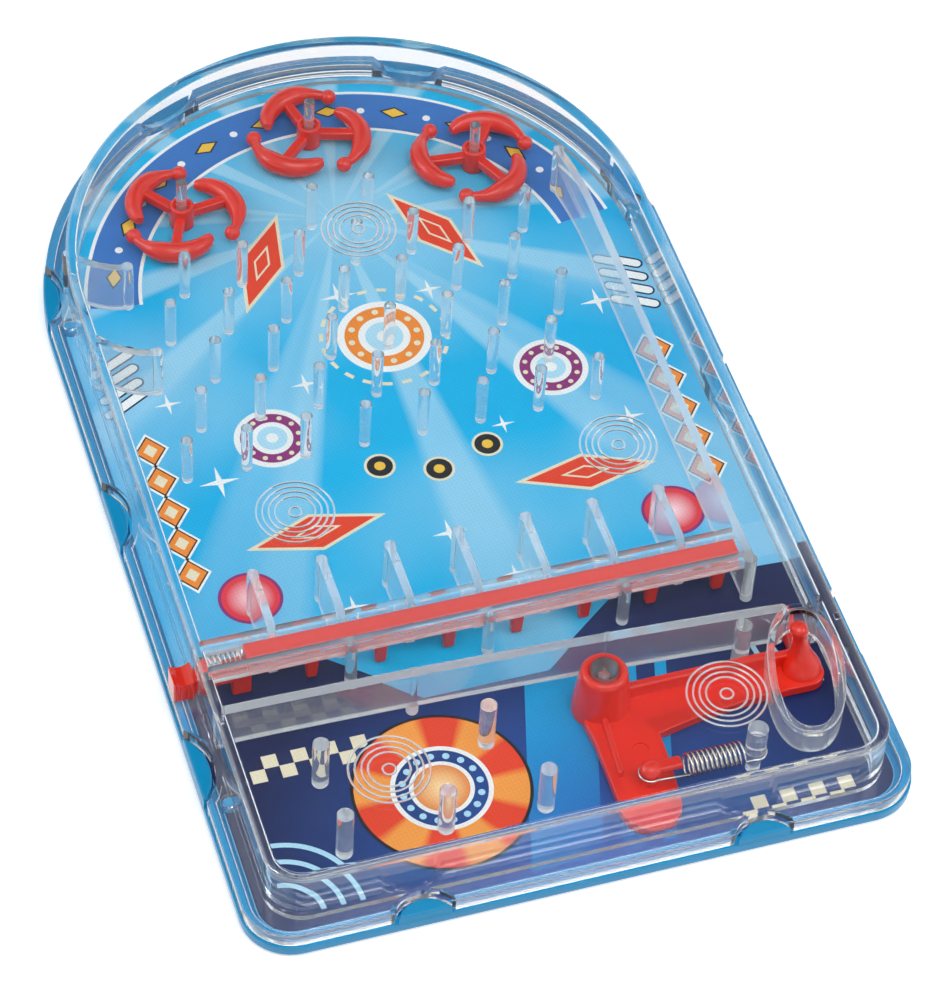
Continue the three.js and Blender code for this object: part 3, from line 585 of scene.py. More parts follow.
def span(tree, x, y):
    """The length of a plan vector."""
    squares = [maths(tree, "POWER", value, 2) for value in (x, y)]
    return maths(tree, "SQRT", maths(tree, "ADD", *squares))


def blend_colours(tree, factor, first, second, mode="MIX"):
    """A colour mix's output."""
    return node(tree, "Mix", {0: factor, 6: first, 7: second}, data_type="RGBA", blend_type=mode).outputs[2]


def tinted(tree, base, shade, amount):
    """A colour that a shade from -1 to 1 makes darker or lighter."""
    value = maths(tree, "MULTIPLY_ADD", shade, amount, 1)
    tint = node(tree, "CombineColor", {channel: value for channel in range(3)})
    return blend_colours(tree, 1.0, base, tint.outputs[0], "MULTIPLY")


def principled(tree, inputs):
    return node(tree, "BsdfPrincipled", inputs).outputs[0]


def mixed(tree, factor, first, second):
    """A shader mix's output."""
    return node(tree, "MixShader", {0: factor, 1: first, 2: second}).outputs[0]


def effect(tree, name, defaults, outputs, draw, inputs=()):
    """Places a shader group in a material and returns its outputs. The group is built once."""
    group = bpy.data.node_groups.get(name)
    if group is None:
        group = bpy.data.node_groups.new(name, "ShaderNodeTree")
        for title, value in defaults.items():
            group.interface.new_socket(title, in_out="INPUT", socket_type=FLOAT).default_value = value
        for title in outputs:
            group.interface.new_socket(title, in_out="OUTPUT", socket_type=FLOAT)
        given, wanted = group.nodes.new("NodeGroupInput"), group.nodes.new("NodeGroupOutput")
        for title, value in zip(outputs, draw(group, given.outputs)):
            group.links.new(value, wanted.inputs[title])
    return node(tree, "Group", inputs, node_tree=group).outputs


def draw_skin(tree, given):
    """Flow marks and fine rub marks of a moulding, as a shade, a roughness and a height."""
    place = object_place(tree)
    flow = ramp(tree, noise(tree, place, 38, 3, 0.45), 0.3, 0.7, -1)
    stretched = node(tree, "Mapping", {"Vector": place, "Rotation": (0.2, 0.1, 0.7),
                                       "Scale": (2600, 160, 600)})
    rubs = ramp(tree, noise(tree, stretched.outputs[0], 1, 2, 0.6), 0.62, 0.8)
    flow_share = maths(tree, "MULTIPLY", flow, given["Flow"])
    rub_share = maths(tree, "MULTIPLY", rubs, given["Rubs"])
    uneven = maths(tree, "MULTIPLY_ADD", flow_share, 0.04, given["Roughness"])
    height = maths(tree, "SUBTRACT", maths(tree, "MULTIPLY", flow_share, 0.6), rub_share)
    return flow_share, maths(tree, "ADD", uneven, rub_share, clamp=True), height


def draw_grain(tree, given):
    """A fine screen of dots and paper fibre, as a shade and a height."""
    place = object_place(tree)
    turned = node(tree, "Mapping", {"Vector": place, "Rotation": (0, 0, 0.6), "Scale": (5200, 5200, 1)})
    axes = node(tree, "SeparateXYZ", {0: turned.outputs[0]}).outputs
    dots = maths(tree, "MULTIPLY", *[maths(tree, "SINE", axis) for axis in axes[:2]])
    fibre = maths(tree, "SUBTRACT", noise(tree, place, 900, 4, 0.7), 0.5)
    screen = maths(tree, "MULTIPLY", dots, given["Screen"])
    paper = maths(tree, "MULTIPLY", fibre, given["Fibre"])
    return maths(tree, "ADD", screen, paper), fibre


def moulded(tree, base, tint, roughness, rubs, flow, bump):
    """A moulding's or metal's colour, roughness and relief, as inputs of its shader."""
    skin = effect(tree, "moulded_skin", {"Roughness": 0.25, "Rubs": 0.1, "Flow": 0.5},
                  ("Shade", "Roughness", "Height"), draw_skin,
                  {"Roughness": roughness, "Rubs": rubs, "Flow": flow})
    relief = node(tree, "Bump", {"Strength": bump, "Distance": 0.2 * MM, "Height": skin["Height"]})
    return {"Base Color": tinted(tree, base, skin["Shade"], tint), "Roughness": skin["Roughness"],
            "Normal": relief.outputs[0]}


def printed(tree, base):
    """Printed card in a colour."""
    grain = effect(tree, "print_grain", {"Screen": 0.05, "Fibre": 0.05}, ("Shade", "Height"), draw_grain)
    relief = node(tree, "Bump", {"Strength": 0.08, "Distance": 0.1 * MM, "Height": grain["Height"]})
    return principled(tree, {"Base Color": tinted(tree, base, grain["Shade"], 1.0), "Roughness": 0.42,
                             "Specular IOR Level": 0.2, "Coat Weight": 0.1, "Coat Roughness": 0.18,
                             "Normal": relief.outputs[0]})


# Materials

def material_named(name, draw, *values):
    """The material of that name, made once by a function that returns its shader."""
    material = bpy.data.materials.get(name)
    if material is None:
        material = bpy.data.materials.new(name)
        material.use_nodes = True
        tree = material.node_tree
        tree.nodes.clear()
        node(tree, "OutputMaterial", {"Surface": draw(tree, *values)})
    return material


def plastic(tree, base, roughness=0.2, coat=0.35, bump=0.25):
    """Glossy moulded plastic."""
    return principled(tree, {**moulded(tree, base, 0.07, roughness, 0.08, 0.5, bump), "IOR": 1.5,
                             "Specular IOR Level": 0.35, "Coat Weight": coat, "Coat Roughness": 0.06})


def metal(tree, base, roughness, rubs):
    """Drawn or polished steel."""
    return principled(tree, {**moulded(tree, base, 0.1, roughness, rubs, 0.5, 0.15), "Metallic": 1.0})


def haze_and_painted_light_share(tree, size, finish):
    """How much lit white is mixed into the cover: least in its outer wall, where it is milkiness, and most at
    the feet of pegs and walls, where it is a painted glow, and on the rings, where it is a painted highlight.
    The walls, pegs and shelf mix milkiness with painted sheen, the dome's upper edge has a painted highlight
    and the plate over the slider a painted reflection.
    """
    across, along, height = node(tree, "SeparateXYZ", {0: object_place(tree)}).outputs

    def most(*values):
        made = values[0]
        for value in values[1:]:
            made = maths(tree, "MAXIMUM", made, value)
        return made

    def both(first, second):
        return maths(tree, "MULTIPLY", first, second)

    def fade(value, start, end, high=1.0):
        return ramp(tree, value, start, end, 0.0, high)

    def away(y):
        """Distance of the shaded point from a line across the case."""
        return maths(tree, "ABSOLUTE", maths(tree, "SUBTRACT", along, FRONT + y))

    soft = 0.5 * MM
    band = (5 * MM, 4 * MM)
    inner = size.dome_inset + size.wall + soft
    outer = size.dome_inset + 2 * soft
    beyond = most(maths(tree, "SUBTRACT", along, FRONT + ARCH_Y), 0)
    radius = span(tree, across, beyond)
    within = both(fade(radius, ARCH_RADIUS - inner, ARCH_RADIUS - inner - soft),
                  fade(along, FRONT + inner, FRONT + inner + soft))
    # Painted highlight: lit white along the dome's upper edge.
    rim = both(most(fade(radius, ARCH_RADIUS - outer, ARCH_RADIUS - outer + soft),
                    fade(along, FRONT + outer, FRONT + outer - soft)),
               fade(height, size.dome_top - 3 * soft, size.dome_top - 2 * soft, finish.painted_rim_highlight))
    ceiling = size.dome_top - size.wall
    under = fade(height, ceiling, ceiling - soft)
    # Painted glow: lit white at the feet of pegs and walls, and below at the return shelf's lower edge.
    foot = fade(height, size.foot + 1.5 * soft, size.foot + 0.2 * soft, finish.painted_foot_glow)
    shelf = fade(away(size.shelf_y), *band)
    shelf_foot = both(shelf, fade(height, size.shelf_foot + soft, size.shelf_foot + 0.2 * soft,
                                  finish.painted_foot_glow))
    # Milkiness with painted sheen in the walls and pegs, in another share on the return shelf.
    body = maths(tree, "MULTIPLY_ADD", shelf, finish.shelf_haze - finish.haze, finish.haze - finish.wall_haze)
    room = both(within, maths(tree, "ADD", body, most(foot, shelf_foot)))
    lower = both(under, maths(tree, "ADD", room, finish.wall_haze))
    ridge_top = size.dome_top + size.ridge_height
    # Painted highlight: lit white on the raised rings.
    ring = both(fade(height, size.dome_top + 0.1 * soft, size.dome_top + 0.3 * soft, finish.ring_haze),
                fade(height, ridge_top + 0.4 * soft, ridge_top + 0.1 * soft))
    # Painted reflection: lit white in the plate over the slider's channel, which lightens the bar seen through
    # it.
    channel = both(fade(away(size.channel_y), *band, finish.painted_channel_reflection),
                   fade(height, ceiling + soft, ceiling + 0.5 * soft))
    return maths(tree, "MINIMUM", most(most(lower, channel), most(ring, rim)), 1)


def clear_plastic(tree, size, finish):
    """Clear moulded plastic, a little milky, with painted sheen, glow, highlights and a reflection mixed in as
    lit white, that lets the lamps' light through to what lies under it.
    """
    glass = principled(tree, {**moulded(tree, finish.clear, 0.008, 0.01, 0.02, 0.3, 0.03), "IOR": 1.49,
                              "Transmission Weight": 1.0})
    # Lit white that carries the cover's milkiness and its painted sheen, glow, highlights and reflection.
    milk_and_painted_light = principled(tree, {"Base Color": (0.9, 0.93, 0.95), "Roughness": 0.5})
    hazy_and_painted_light = mixed(tree, haze_and_painted_light_share(tree, size, finish), glass, milk_and_painted_light)
    through = node(tree, "BsdfTransparent", {"Color": (0.93, 0.95, 0.96)}).outputs[0]
    return mixed(tree, node(tree, "LightPath").outputs["Is Shadow Ray"], hazy_and_painted_light, through)


def ink_print(tree, base, second=None, focus=(0, 0), reach=0.02, bands=0):
    """Printed colour. A second colour is blended in round a plan position, or in rays about it."""
    if second is None:
        return printed(tree, base)
    x, y = axes_about(tree, *focus)
    if bands:
        wave = maths(tree, "SINE", maths(tree, "MULTIPLY", maths(tree, "ARCTAN2", y, x), bands))
        factor = maths(tree, "MULTIPLY_ADD", wave, 1.4, 0.5, clamp=True)
    else:
        factor = maths(tree, "DIVIDE", span(tree, x, y), reach, clamp=True)
    return printed(tree, blend_colours(tree, factor, second, base))


def field_print(tree, art):
    """The card's ground: a blue field with pale rays from its upper part, darker to the sides."""
    x, y = axes_about(tree, 0, 186 * MM)
    angle = maths(tree, "ARCTAN2", x, maths(tree, "MULTIPLY", y, -1))
    wide = maths(tree, "SINE", maths(tree, "MULTIPLY_ADD", angle, 13.0, 0.9))
    narrow = maths(tree, "MULTIPLY", maths(tree, "SINE", maths(tree, "MULTIPLY", angle, 31.0)), 0.35)
    rays = ramp(tree, maths(tree, "MULTIPLY_ADD", wide, 0.9, narrow), 0.1, 0.75)
    radius = span(tree, x, y)
    faint = ramp(tree, radius, 20 * MM, 150 * MM, 0.75, 0.22)
    glow = ramp(tree, radius, 45 * MM, 5 * MM, 0.0, 0.6)
    soft = maths(tree, "MAXIMUM", maths(tree, "MULTIPLY", rays, faint), glow)
    aside = ramp(tree, maths(tree, "ABSOLUTE", x), 36 * MM, 68 * MM, 0.0, 0.18)
    shaded = blend_colours(tree, aside, blend_colours(tree, soft, art.sky, art.light), art.violet)
    clouds = ramp(tree, noise(tree, object_place(tree), 20, 2, 0.4), 0.45, 0.72, 0.0, 0.4)
    return printed(tree, blend_colours(tree, clouds, shaded, art.light))


def red_plastic(game):
    return material_named("moulded_red", plastic, game.finish.red)


# Tray and cover

ADD, CUT, KEEP = "UNION", "DIFFERENCE", "INTERSECT"
NOTCH_FRONT = (6.9 * MM, 4.4 * MM)
NOTCH_SIDE = (12.5 * MM, 4.4 * MM)
NOTCH_FRONT_X = 35.2 * MM
NOTCH_SIDE_SHARES = (0.275, 0.685)
NOTCH_ARCH_ANGLES = (math.radians(10.3), math.radians(64.6))
PIN_SHARES = (0.216, 1.018)
SIDES = (-1, 1)


def notch_rounds(change, low, high, *rounding):
    """The rounds of the half-round notches, drawn out or in."""
    side_radius, depth = NOTCH_SIDE
    reach = ARCH_RADIUS - depth + side_radius
    places = []
    for side in SIDES:
        places.append((side * NOTCH_FRONT_X, NOTCH_FRONT[1] - NOTCH_FRONT[0], NOTCH_FRONT[0]))
        places += [(side * reach, part * ARCH_Y, side_radius) for part in NOTCH_SIDE_SHARES]
        places += [(side * reach * math.cos(angle), ARCH_Y + reach * math.sin(angle), side_radius)
                   for angle in NOTCH_ARCH_ANGLES]
    return [(prism, disc(x, y, radius + change, 72), low, high, *rounding) for x, y, radius in places]


def at_pins(game, profile, steps):
    """A round shape at each locating pin."""
    return [(lathe, profile, side * game.tray.pin_x, part * ARCH_Y, steps)
            for side in SIDES for part in PIN_SHARES]


def spinner_places():
    """Plan positions of the spinners' axes, as shares of the arch's radius from its centre."""
    shares = ((-0.479, 0.404), (0.01, 0.65), (0.497, 0.413))
    return [Vector((x * ARCH_RADIUS, ARCH_Y + y * ARCH_RADIUS)) for x, y in shares]


class PINBALL_OT_tray(bpy.types.Operator):
    """Makes the blue tray with its clip pads and locating pins"""

    bl_idname = "pinball.tray"
    bl_label = "Tray"

    def execute(self, context):
        game = context.scene.pinball
        size = game.tray
        over = 2 * size.rim_height
        root, tip = size.floor - 0.4 * MM, size.pad_height
        radius = size.pin_diameter / 2
        shell = prism, case_outline(0, size.corner), 0, size.rim_height, 0.25 * MM, size.foot_round, 4
        hollow = (prism, case_outline(size.rim_width, size.corner - size.rim_width), size.floor, over,
                  0, 0.3 * MM)
        blank = prism, case_outline(0.05 * MM, size.corner), root, tip, 0.5 * MM
        rounds = notch_rounds(-size.pad_gap, -size.rim_height, tip, 0.5 * MM)
        pins = at_pins(game, [(0, root), (radius, root), (radius, tip - 0.5 * MM), (radius * 0.7, tip),
                              (0, tip)], 20)
        pads = assemble("pads", blank, (KEEP, rounds))
        tray = assemble("tray_shell", shell, (CUT, hollow), (ADD, pads, pins))
        blue = material_named("moulded_blue", plastic, game.finish.blue, 0.22, 0.12)
        dress(tray, blue, "case", ["base_tray"])
        return {"FINISHED"}


class PINBALL_OT_cover(bpy.types.Operator):
    """Makes the clear cover with its pegs, walls, posts, finger well and raised rings"""

    bl_idname = "pinball.cover"
    bl_label = "Cover"

    def execute(self, context):
        game = context.scene.pinball
        size, lever = game.cover, game.lever
        ceiling = size.dome_top - size.wall
        foot, sunk = size.foot, ceiling + 0.6 * MM
        room = ARCH_RADIUS - size.dome_inset - size.wall
        rear = size.channel_y + size.channel / 2
        front = size.channel_y - size.channel / 2 - size.rail
        slot_xs = [-47.7 * MM + i * size.slot_pitch for i in range(7)]
        wall_tip = 81.8 * MM
        thin = 1.8 * MM
        lane_low, lane_bend = 58.8 * MM, 163 * MM
        lane_top = (50.5 * MM, 181.8 * MM)
        fin_x, fin_reach, fin_rise = -51.3 * MM, 11.4 * MM, 7.4 * MM
        peg_x, peg_y, peg = 0.5 * MM, 120.1 * MM, size.peg / 2
        peg_rows = ((-4, 3), (-3.5, 2.5), (-3, 3), (-3.5, 2.5), (-3, 3), (-0.5, 0.5))
        fin_ys = [peg_y + row * size.peg_pitch_y for row in (4, 2)]
        room_posts = ((-0.659, 0.523), (-0.161, 0.529), (-0.661, 0.269), (-0.36, 0.273), (-0.064, 0.269))
        shelf_start, shelf_end = -room - 0.4 * MM, 55 * MM
        well = (52.9 * MM, 28.2 * MM)
        well_half = (7.8 * MM, 16.4 * MM)
        well_lean = math.radians(-15)
        below, notch_top = -1 * MM, 8 * MM

        def shelf_y(x):
            """Distance of the return shelf from the front edge."""
            part = (x + room) / (shelf_end + room)
            return 49.7 * MM - 4.8 * MM * part + 3.6 * MM * part * (1 - part)

        def posts(places, radius, steps, *taper):
            return [(post, x, y, radius, foot, sunk, steps, *taper) for x, y in places]

        def wall(path, thickness=thin, low=foot, rounding=0.2 * MM):
            return prism, bar_outline(path, thickness), low, sunk, 0, rounding, 2

        def case(inset, corner, *heights_and_rounding):
            return prism, case_outline(inset, corner), *heights_and_rounding

        # Flange, dome and the hollows in them
        inset = size.flange_inset + size.skirt
        flange = case(size.flange_inset, 10.1 * MM, size.flange_low, size.flange_top, 0.35 * MM)
        dome = case(size.dome_inset, size.dome_corner, size.flange_low + 0.5 * MM, size.dome_top,
                    size.dome_round, 0, 4)
        channel_block = case(inset, 10.5 * MM - inset, size.flange_low - 1 * MM,
                             size.flange_top - size.flange_plate, 0.2 * MM)
        channel_core = case(size.dome_inset, size.dome_corner, below, size.dome_top)
        room_block = case(size.dome_inset + size.wall, size.dome_corner - size.wall, below, ceiling, 0.5 * MM)
        pin_holes = at_pins(game, [(0, 0), (1.6 * MM, 0), (1.6 * MM, 5.5 * MM), (0, 5.5 * MM)], 24)
        window = (block, -room - size.wall - 0.6 * MM, -room + 0.6 * MM, size.channel_y - 2 * MM,
                  size.channel_y + 2 * MM, 7.5 * MM, 12.3 * MM)

        # Pegs and posts
        peg_places = [(peg_x + (first + step) * size.peg_pitch_x, peg_y + row * size.peg_pitch_y)
                      for row, (first, last) in enumerate(peg_rows) for step in range(int(last - first) + 1)]
        peg_field = [*posts(peg_places, peg, 20, peg - 0.12 * MM), *posts(spinner_places(), 1.2 * MM, 20),
                     *posts([(x * ARCH_RADIUS, y * ARCH_RADIUS) for x, y in room_posts], 1.75 * MM, 28)]
        shelf_posts = [(part * ARCH_RADIUS, shelf_y(part * ARCH_RADIUS)) for part in (-0.333, 0.247)]
        end_posts = [*posts([(x, wall_tip) for x in slot_xs], peg, 20),
                     *posts([(size.lane_x, lane_low), lane_top, *[(fin_x, y) for y in fin_ys]], peg, 24),
                     *posts([*shelf_posts, *[(x, front + size.rail - peg) for x in slot_xs[1::2]]], peg, 20)]

        # Rails, slot walls, the lane's wall, fins and the return shelf
        rails = [(block, -room - 0.5 * MM, size.lane_x, y, y + size.rail, ceiling - size.rail_depth, sunk)
                 for y in (rear, front)]
        slot_walls = []
        for x in slot_xs:
            outline = bar_outline([(x, rear + 0.02 * MM), (x, wall_tip)], size.slot_wall)
            outline = [(px, max(py, rear + 0.01 * MM)) for px, py in outline]
            slot_walls.append((prism, outline, foot, sunk, 0, 0.2 * MM, 2))
        upper = bend((size.lane_x, lane_bend), (size.lane_x, (lane_bend + lane_top[1]) / 2), lane_top)
        walls = [wall([(size.lane_x, lane_low), *upper])]
        for y in fin_ys:
            left = fin_x - fin_reach - 0.4 * MM
            walls.append(wall(bend((left, y + fin_rise), ((left + fin_x) / 2, y), (fin_x, y))))
        last = shelf_end - 1.1 * MM
        shelf_xs = [shelf_start + (last - shelf_start) * i / 10 for i in range(11)]
        walls += [wall([(x, shelf_y(x)) for x in shelf_xs], 2.2 * MM, size.shelf_foot, 0.25 * MM),
                  (block, room - 1.4 * MM, room + 0.5 * MM, 44.4 * MM, 46.2 * MM, foot, sunk, 0.15 * MM)]

        # Posts of the lever and its spring, the finger well, the rings and the slider spring's spigot
        head = lever.coil_height + lever.wire / 2 + 0.3 * MM
        spring_post = [(0, foot), (1.5 * MM, foot), (1.5 * MM, head), (2.0 * MM, head),
                       (2.15 * MM, head + 0.2 * MM), (2.15 * MM, sunk), (0, sunk)]
        inner = 1.25 * MM
        pivot_post = [(0, 12.6 * MM), (inner, 11.8 * MM), (inner, 5.1 * MM), (2.7 * MM, 5.1 * MM),
                      (2.9 * MM, 5.4 * MM), (2.9 * MM, sunk), (0, sunk)]
        lever_posts = [(post, 44.9 * MM, lever.pivot_y + lever.rib / 2 + 2.1 * MM, 1.8 * MM, foot, sunk, 28),
                       (lathe, spring_post, lever.post_x, lever.post_y, 32),
                       (lathe, pivot_post, lever.pivot_x, lever.pivot_y, 40)]
        well_top = size.dome_top + size.well_lip
        well_block = (prism, oval_outline(*well, *well_half, well_lean), size.well_foot, well_top,
                      0.4 * MM, 0.3 * MM)
        well_hole = (prism, oval_outline(*well, *(half - size.well_wall for half in well_half), well_lean),
                     size.well_foot - 1 * MM, well_top + 1 * MM)
        half, top = size.ridge / 2, size.dome_top
        ridge = [(-half, -0.1 * MM), (half, -0.1 * MM), (half, 0.04 * MM), (half * 0.4, size.ridge_height),
                 (-half * 0.4, size.ridge_height), (-half, 0.04 * MM)]
        rings = [(lathe, [(radius + out, top + up) for out, up in ridge], x, y, 72)
                 for x, y in RING_PLACES for radius in RING_RADII]
        spigot_middle = spot(-room + 1.45 * MM, size.channel_y, game.slider.spring_z)
        spigot = rod, 0.8 * MM, 0.7 * MM, 3.9 * MM, "Y", spigot_middle, 20

        notch_walls = notch_rounds(size.notch_wall, 0, notch_top)
        channel = assemble("channel", channel_block, (CUT, channel_core, notch_walls))
        cover = assemble(
            "cover_shell", flange, (ADD, dome),
            (CUT, channel, room_block, notch_rounds(0, 0, notch_top), pin_holes),
            (ADD, peg_field, end_posts, rails, slot_walls, walls, lever_posts, well_block, rings, spigot),
            (CUT, well_hole, window))
        clear = material_named("moulded_clear", clear_plastic, size, game.finish)
        pegs = [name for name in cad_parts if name.startswith("peg_")]
        dress(cover, clear, "case", ["clear_cover", *pegs], 32)
        return {"FINISHED"}


class PINBALL_OT_card(bpy.types.Operator):
    """Gives the card its printed ground"""

    bl_idname = "pinball.card"
    bl_label = "Card"

    def execute(self, context):
        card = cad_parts["playfield_card"]
        card.data.materials.clear()
        card.data.materials.append(material_named("card_field", field_print, context.scene.pinball.print))
        return {"FINISHED"}


class PINBALL_OT_print(bpy.types.Operator):
    """Prints the card: bands, markers, discs and stripes of a plain design"""

    bl_idname = "pinball.print_shapes"
    bl_label = "Print"

    def execute(self, context):
        art = context.scene.pinball.print

        def ink(name, *values):
            return material_named(f"print_{name}", ink_print, *values)

        def layer(name, level, outlines, fill):
            """A thin layer of print, with one island for each outline."""
            low, high = CARD_TOP - PRINT_ROOT, CARD_TOP + level * art.film
            islands = [(prism, outline, low, high) for outline in outlines]
            dress(solid(islands, f"print_{name}"), fill, "case")

        def stack(prefix, outline, places, *rows):
            """Layers of one outline at several places, from rows of name, level, size and ink."""
            for name, level, size, fill in rows:
                layer(f"{prefix}_{name}", level, [outline(size, *place) for place in places], fill)

        def about(x, y, radius, count):
            """Places spread evenly round a circle."""
            turns = [math.radians(360 / count * k) for k in range(count)]
            return [(x + radius * math.cos(a), y + radius * math.sin(a)) for a in turns]

        plain = ("white", "cream", "black", "band", "red", "orange", "plum", "yellow")
        white, cream, black, band, red, orange, plum, yellow = [ink(name, getattr(art, name)) for name in plain]
        navy = ink("navy", art.navy, art.violet, (0.0, 0.0), 70 * MM)
        pale = ink("pale", art.light)

        # Dark ground of the lower room, with paler stripes across it. Its upper edge reaches up behind the
        # return shelf and under the slider's bar, where the dark is partly print and partly painted shadow of
        # the bar.
        half = ARCH_RADIUS - art.margin
        front = [(x, y) for x, y in case_outline(art.margin, 6.8 * MM) if y < 20 * MM]
        right = [point for point in front if point[0] > 0]
        left = [point for point in front if point[0] < 0]
        # Upper edge of the dark ground, drawn up under the bar as painted shadow.
        rise = mm((27, 68), (7, 53), (-20, 53), (-38, 68))
        layer("lower_ground", 1, [[*right, (half, 66 * MM), *rise, (-half, 68 * MM), *left]], navy)
        low, high, lean = 5 * MM, 50 * MM, 13 * MM
        slants = [[(x, high), (x - lean, low), (x + width - lean, low), (x + width, high)]
                  for x, width in mm((1, 15), (20, 5), (29, 2.5))]
        layer("slants", 2, slants, ink("slant", art.sky, art.violet, (5 * MM, low), 60 * MM))

        # Band under the arch, with gold lozenges and white dots in turn
        start, end = math.radians(8), math.radians(172)
        stack("arch", lambda reach, x, y: sector(x, y, reach[0] * MM, reach[1] * MM, start, end, 90),
              [(0, ARCH_Y)], ("line", 1, (48.4, 60.8), white), ("band", 2, (49.2, 60), band))
        beads = [math.radians(18 + 8 * i) for i in range(19)]
        on_band = [(54.6 * MM * math.cos(a), ARCH_Y + 54.6 * MM * math.sin(a), a) for a in beads]
        stack("band", lambda r, x, y, a: polygon(x, y, r * MM, 4, a + QUARTER, 0.55), on_band[::2],
              ("marks", 3, 3.4, black), ("gold", 4, 2.6, yellow))
        layer("band_dots", 3, [disc(x, y, 0.9 * MM, 20) for x, y, _ in on_band[1::2]], white)

        # Columns of diamonds at both sides
        columns = [(side * 57 * MM, (95 + 8.8 * i) * MM) for side in SIDES for i in range(5)]
        stack("diamond", lambda r, x, y: polygon(x, y, r * MM, 4, QUARTER, 0.82), columns,
              (1, 1, 5.0, white), (2, 2, 4.2, black), (3, 3, 3.7, orange), (4, 4, 1.9, cream))

        # Plain ring targets
        targets = mm((0.5, 149, 10.4), (-31, 127, 8.2), (33, 131, 8.2))
        layer("target_ground", 1, [disc(*target) for target in targets], white)
        for i, ((x, y, r), shade) in enumerate(zip(targets, (orange, plum, plum))):
            layer(f"target_ring_{i + 1}", 2, [disc(x, y, r * 0.84)], shade)
            dots = [disc(*dot, r * 0.07, 16) for dot in about(x, y, r * 0.71, 12)]
            layer(f"target_dots_{i + 1}", 3, dots, cream)
        stack("target", lambda part, x, y, r: disc(x, y, r * part), targets,
              ("gap", 3, 0.55, white), ("core", 4, 0.4, pale), ("eye", 5, 0.16, white))

        # Long red lozenges with cream borders and a slot of cream
        lozenges = ((-29, 99.5, 4), (31, 100.5, -4), (-19.5, 177, 62), (20.5, 177, 118))
        stack("lozenge", lambda r, x, y, turn: polygon(x * MM, y * MM, r * MM, 4, math.radians(turn), 0.33),
              lozenges, ("edge", 2, 15.6, cream), ("red", 3, 13.2, red), ("slot", 4, 5.6, cream),
              ("core", 5, 4.2, red))

        # Dark discs with cream borders
        spots = mm((-11, 113.5), (1, 109.5), (13, 113.5))
        stack("mark", lambda r, x, y: disc(x, y, r * MM, 32), spots,
              ("edge", 1, 3.4, cream), ("dark", 2, 2.8, black), ("eye", 3, 1.2, yellow))

        # Slanted stripes at both sides of the pegs
        stripes = [[(side * 61 * MM, y * MM), (side * 54.5 * MM, y * MM + 3.6 * MM)]
                   for side in SIDES for y in (143, 147.2, 151.4, 155.6)]
        for name, level, width, fill in (("stripe_edge", 1, 2.9, navy), ("stripe", 2, 2.0, white)):
            layer(name, level, [bar_outline(path, width * MM) for path in stripes], fill)

        # Sparkles and a ring of dashes
        sparkles = mm((-6, 163, 4.2), (14, 160, 3.0), (-45, 118, 4.4), (45, 113, 3.4), (-20, 140, 3.2),
                      (18, 118, 2.6), (-2, 92, 3.8), (8, 78, 2.6), (-27, 78, 3.2), (49, 147, 4.0),
                      (-50, 142, 3.0))
        layer("sparkles", 2, [polygon(*sparkle, 8, QUARTER, 1, 0.2) for sparkle in sparkles], white)
        layer("dash_ring", 1, [sector(*targets[0][:2], 13.4 * MM, 14.3 * MM, math.radians(turn),
                                      math.radians(turn + 9), 4) for turn in range(0, 360, 18)], cream)

        # Glowing lights over the slots
        lights = mm((45.5, 85.5), (-47, 86))
        layer("light_edge", 2, [disc(*light, 6.8 * MM) for light in lights], plum)
        for i, light in enumerate(lights):
            glow = ink(f"light_{i + 1}", (0.75, 0.04, 0.06), (1.0, 0.7, 0.74), light, 5.2 * MM)
            layer(f"light_{i + 1}", 3, [disc(*light, 6.1 * MM)], glow)

        # Roundel of the lower room
        hub = (-23 * MM, 29 * MM)
        blades = ink("blades", art.red, (0.9, 0.33, 0.06), hub, 0, 6)
        eye = ink("eye", (0.78, 0.22, 0.04), (1.0, 0.74, 0.38), hub, 6 * MM)
        stack("roundel", lambda r, x, y: disc(x, y, r * MM, 96), [hub], ("line", 3, 18.4, black),
              ("blades", 4, 17.7, blades), ("gap", 5, 10.4, white), ("dark", 6, 9.4, navy),
              ("white", 7, 6.6, white), ("eye", 8, 5.7, eye))
        layer("roundel_pips", 7, [disc(*pip, 0.75 * MM, 16) for pip in about(*hub, 8 * MM, 16)], pale)

        # Check strips and quarter rings of the lower corners
        step = 3.1
        squares = [((x + step * i) * MM, (y - step * row) * MM)
                   for x, y in ((-59, 43), (33, 9)) for i in range(8) for row in range(2) if (i + row) % 2]
        layer("checks", 3, [[(x, y), (x + step * MM, y), (x + step * MM, y + step * MM), (x, y + step * MM)]
                            for x, y in squares], cream)
        quarters = [sector(x * MM, y * MM, r * MM, (r + 1.1) * MM, start, start + QUARTER, 24)
                    for x, y, start, radii in ((-61, 9, 0, (7, 11, 15)), (61, 47, 2 * QUARTER, (7, 11)))
                    for r in radii]
        layer("quarters", 3, quarters, pale)
        return {"FINISHED"}


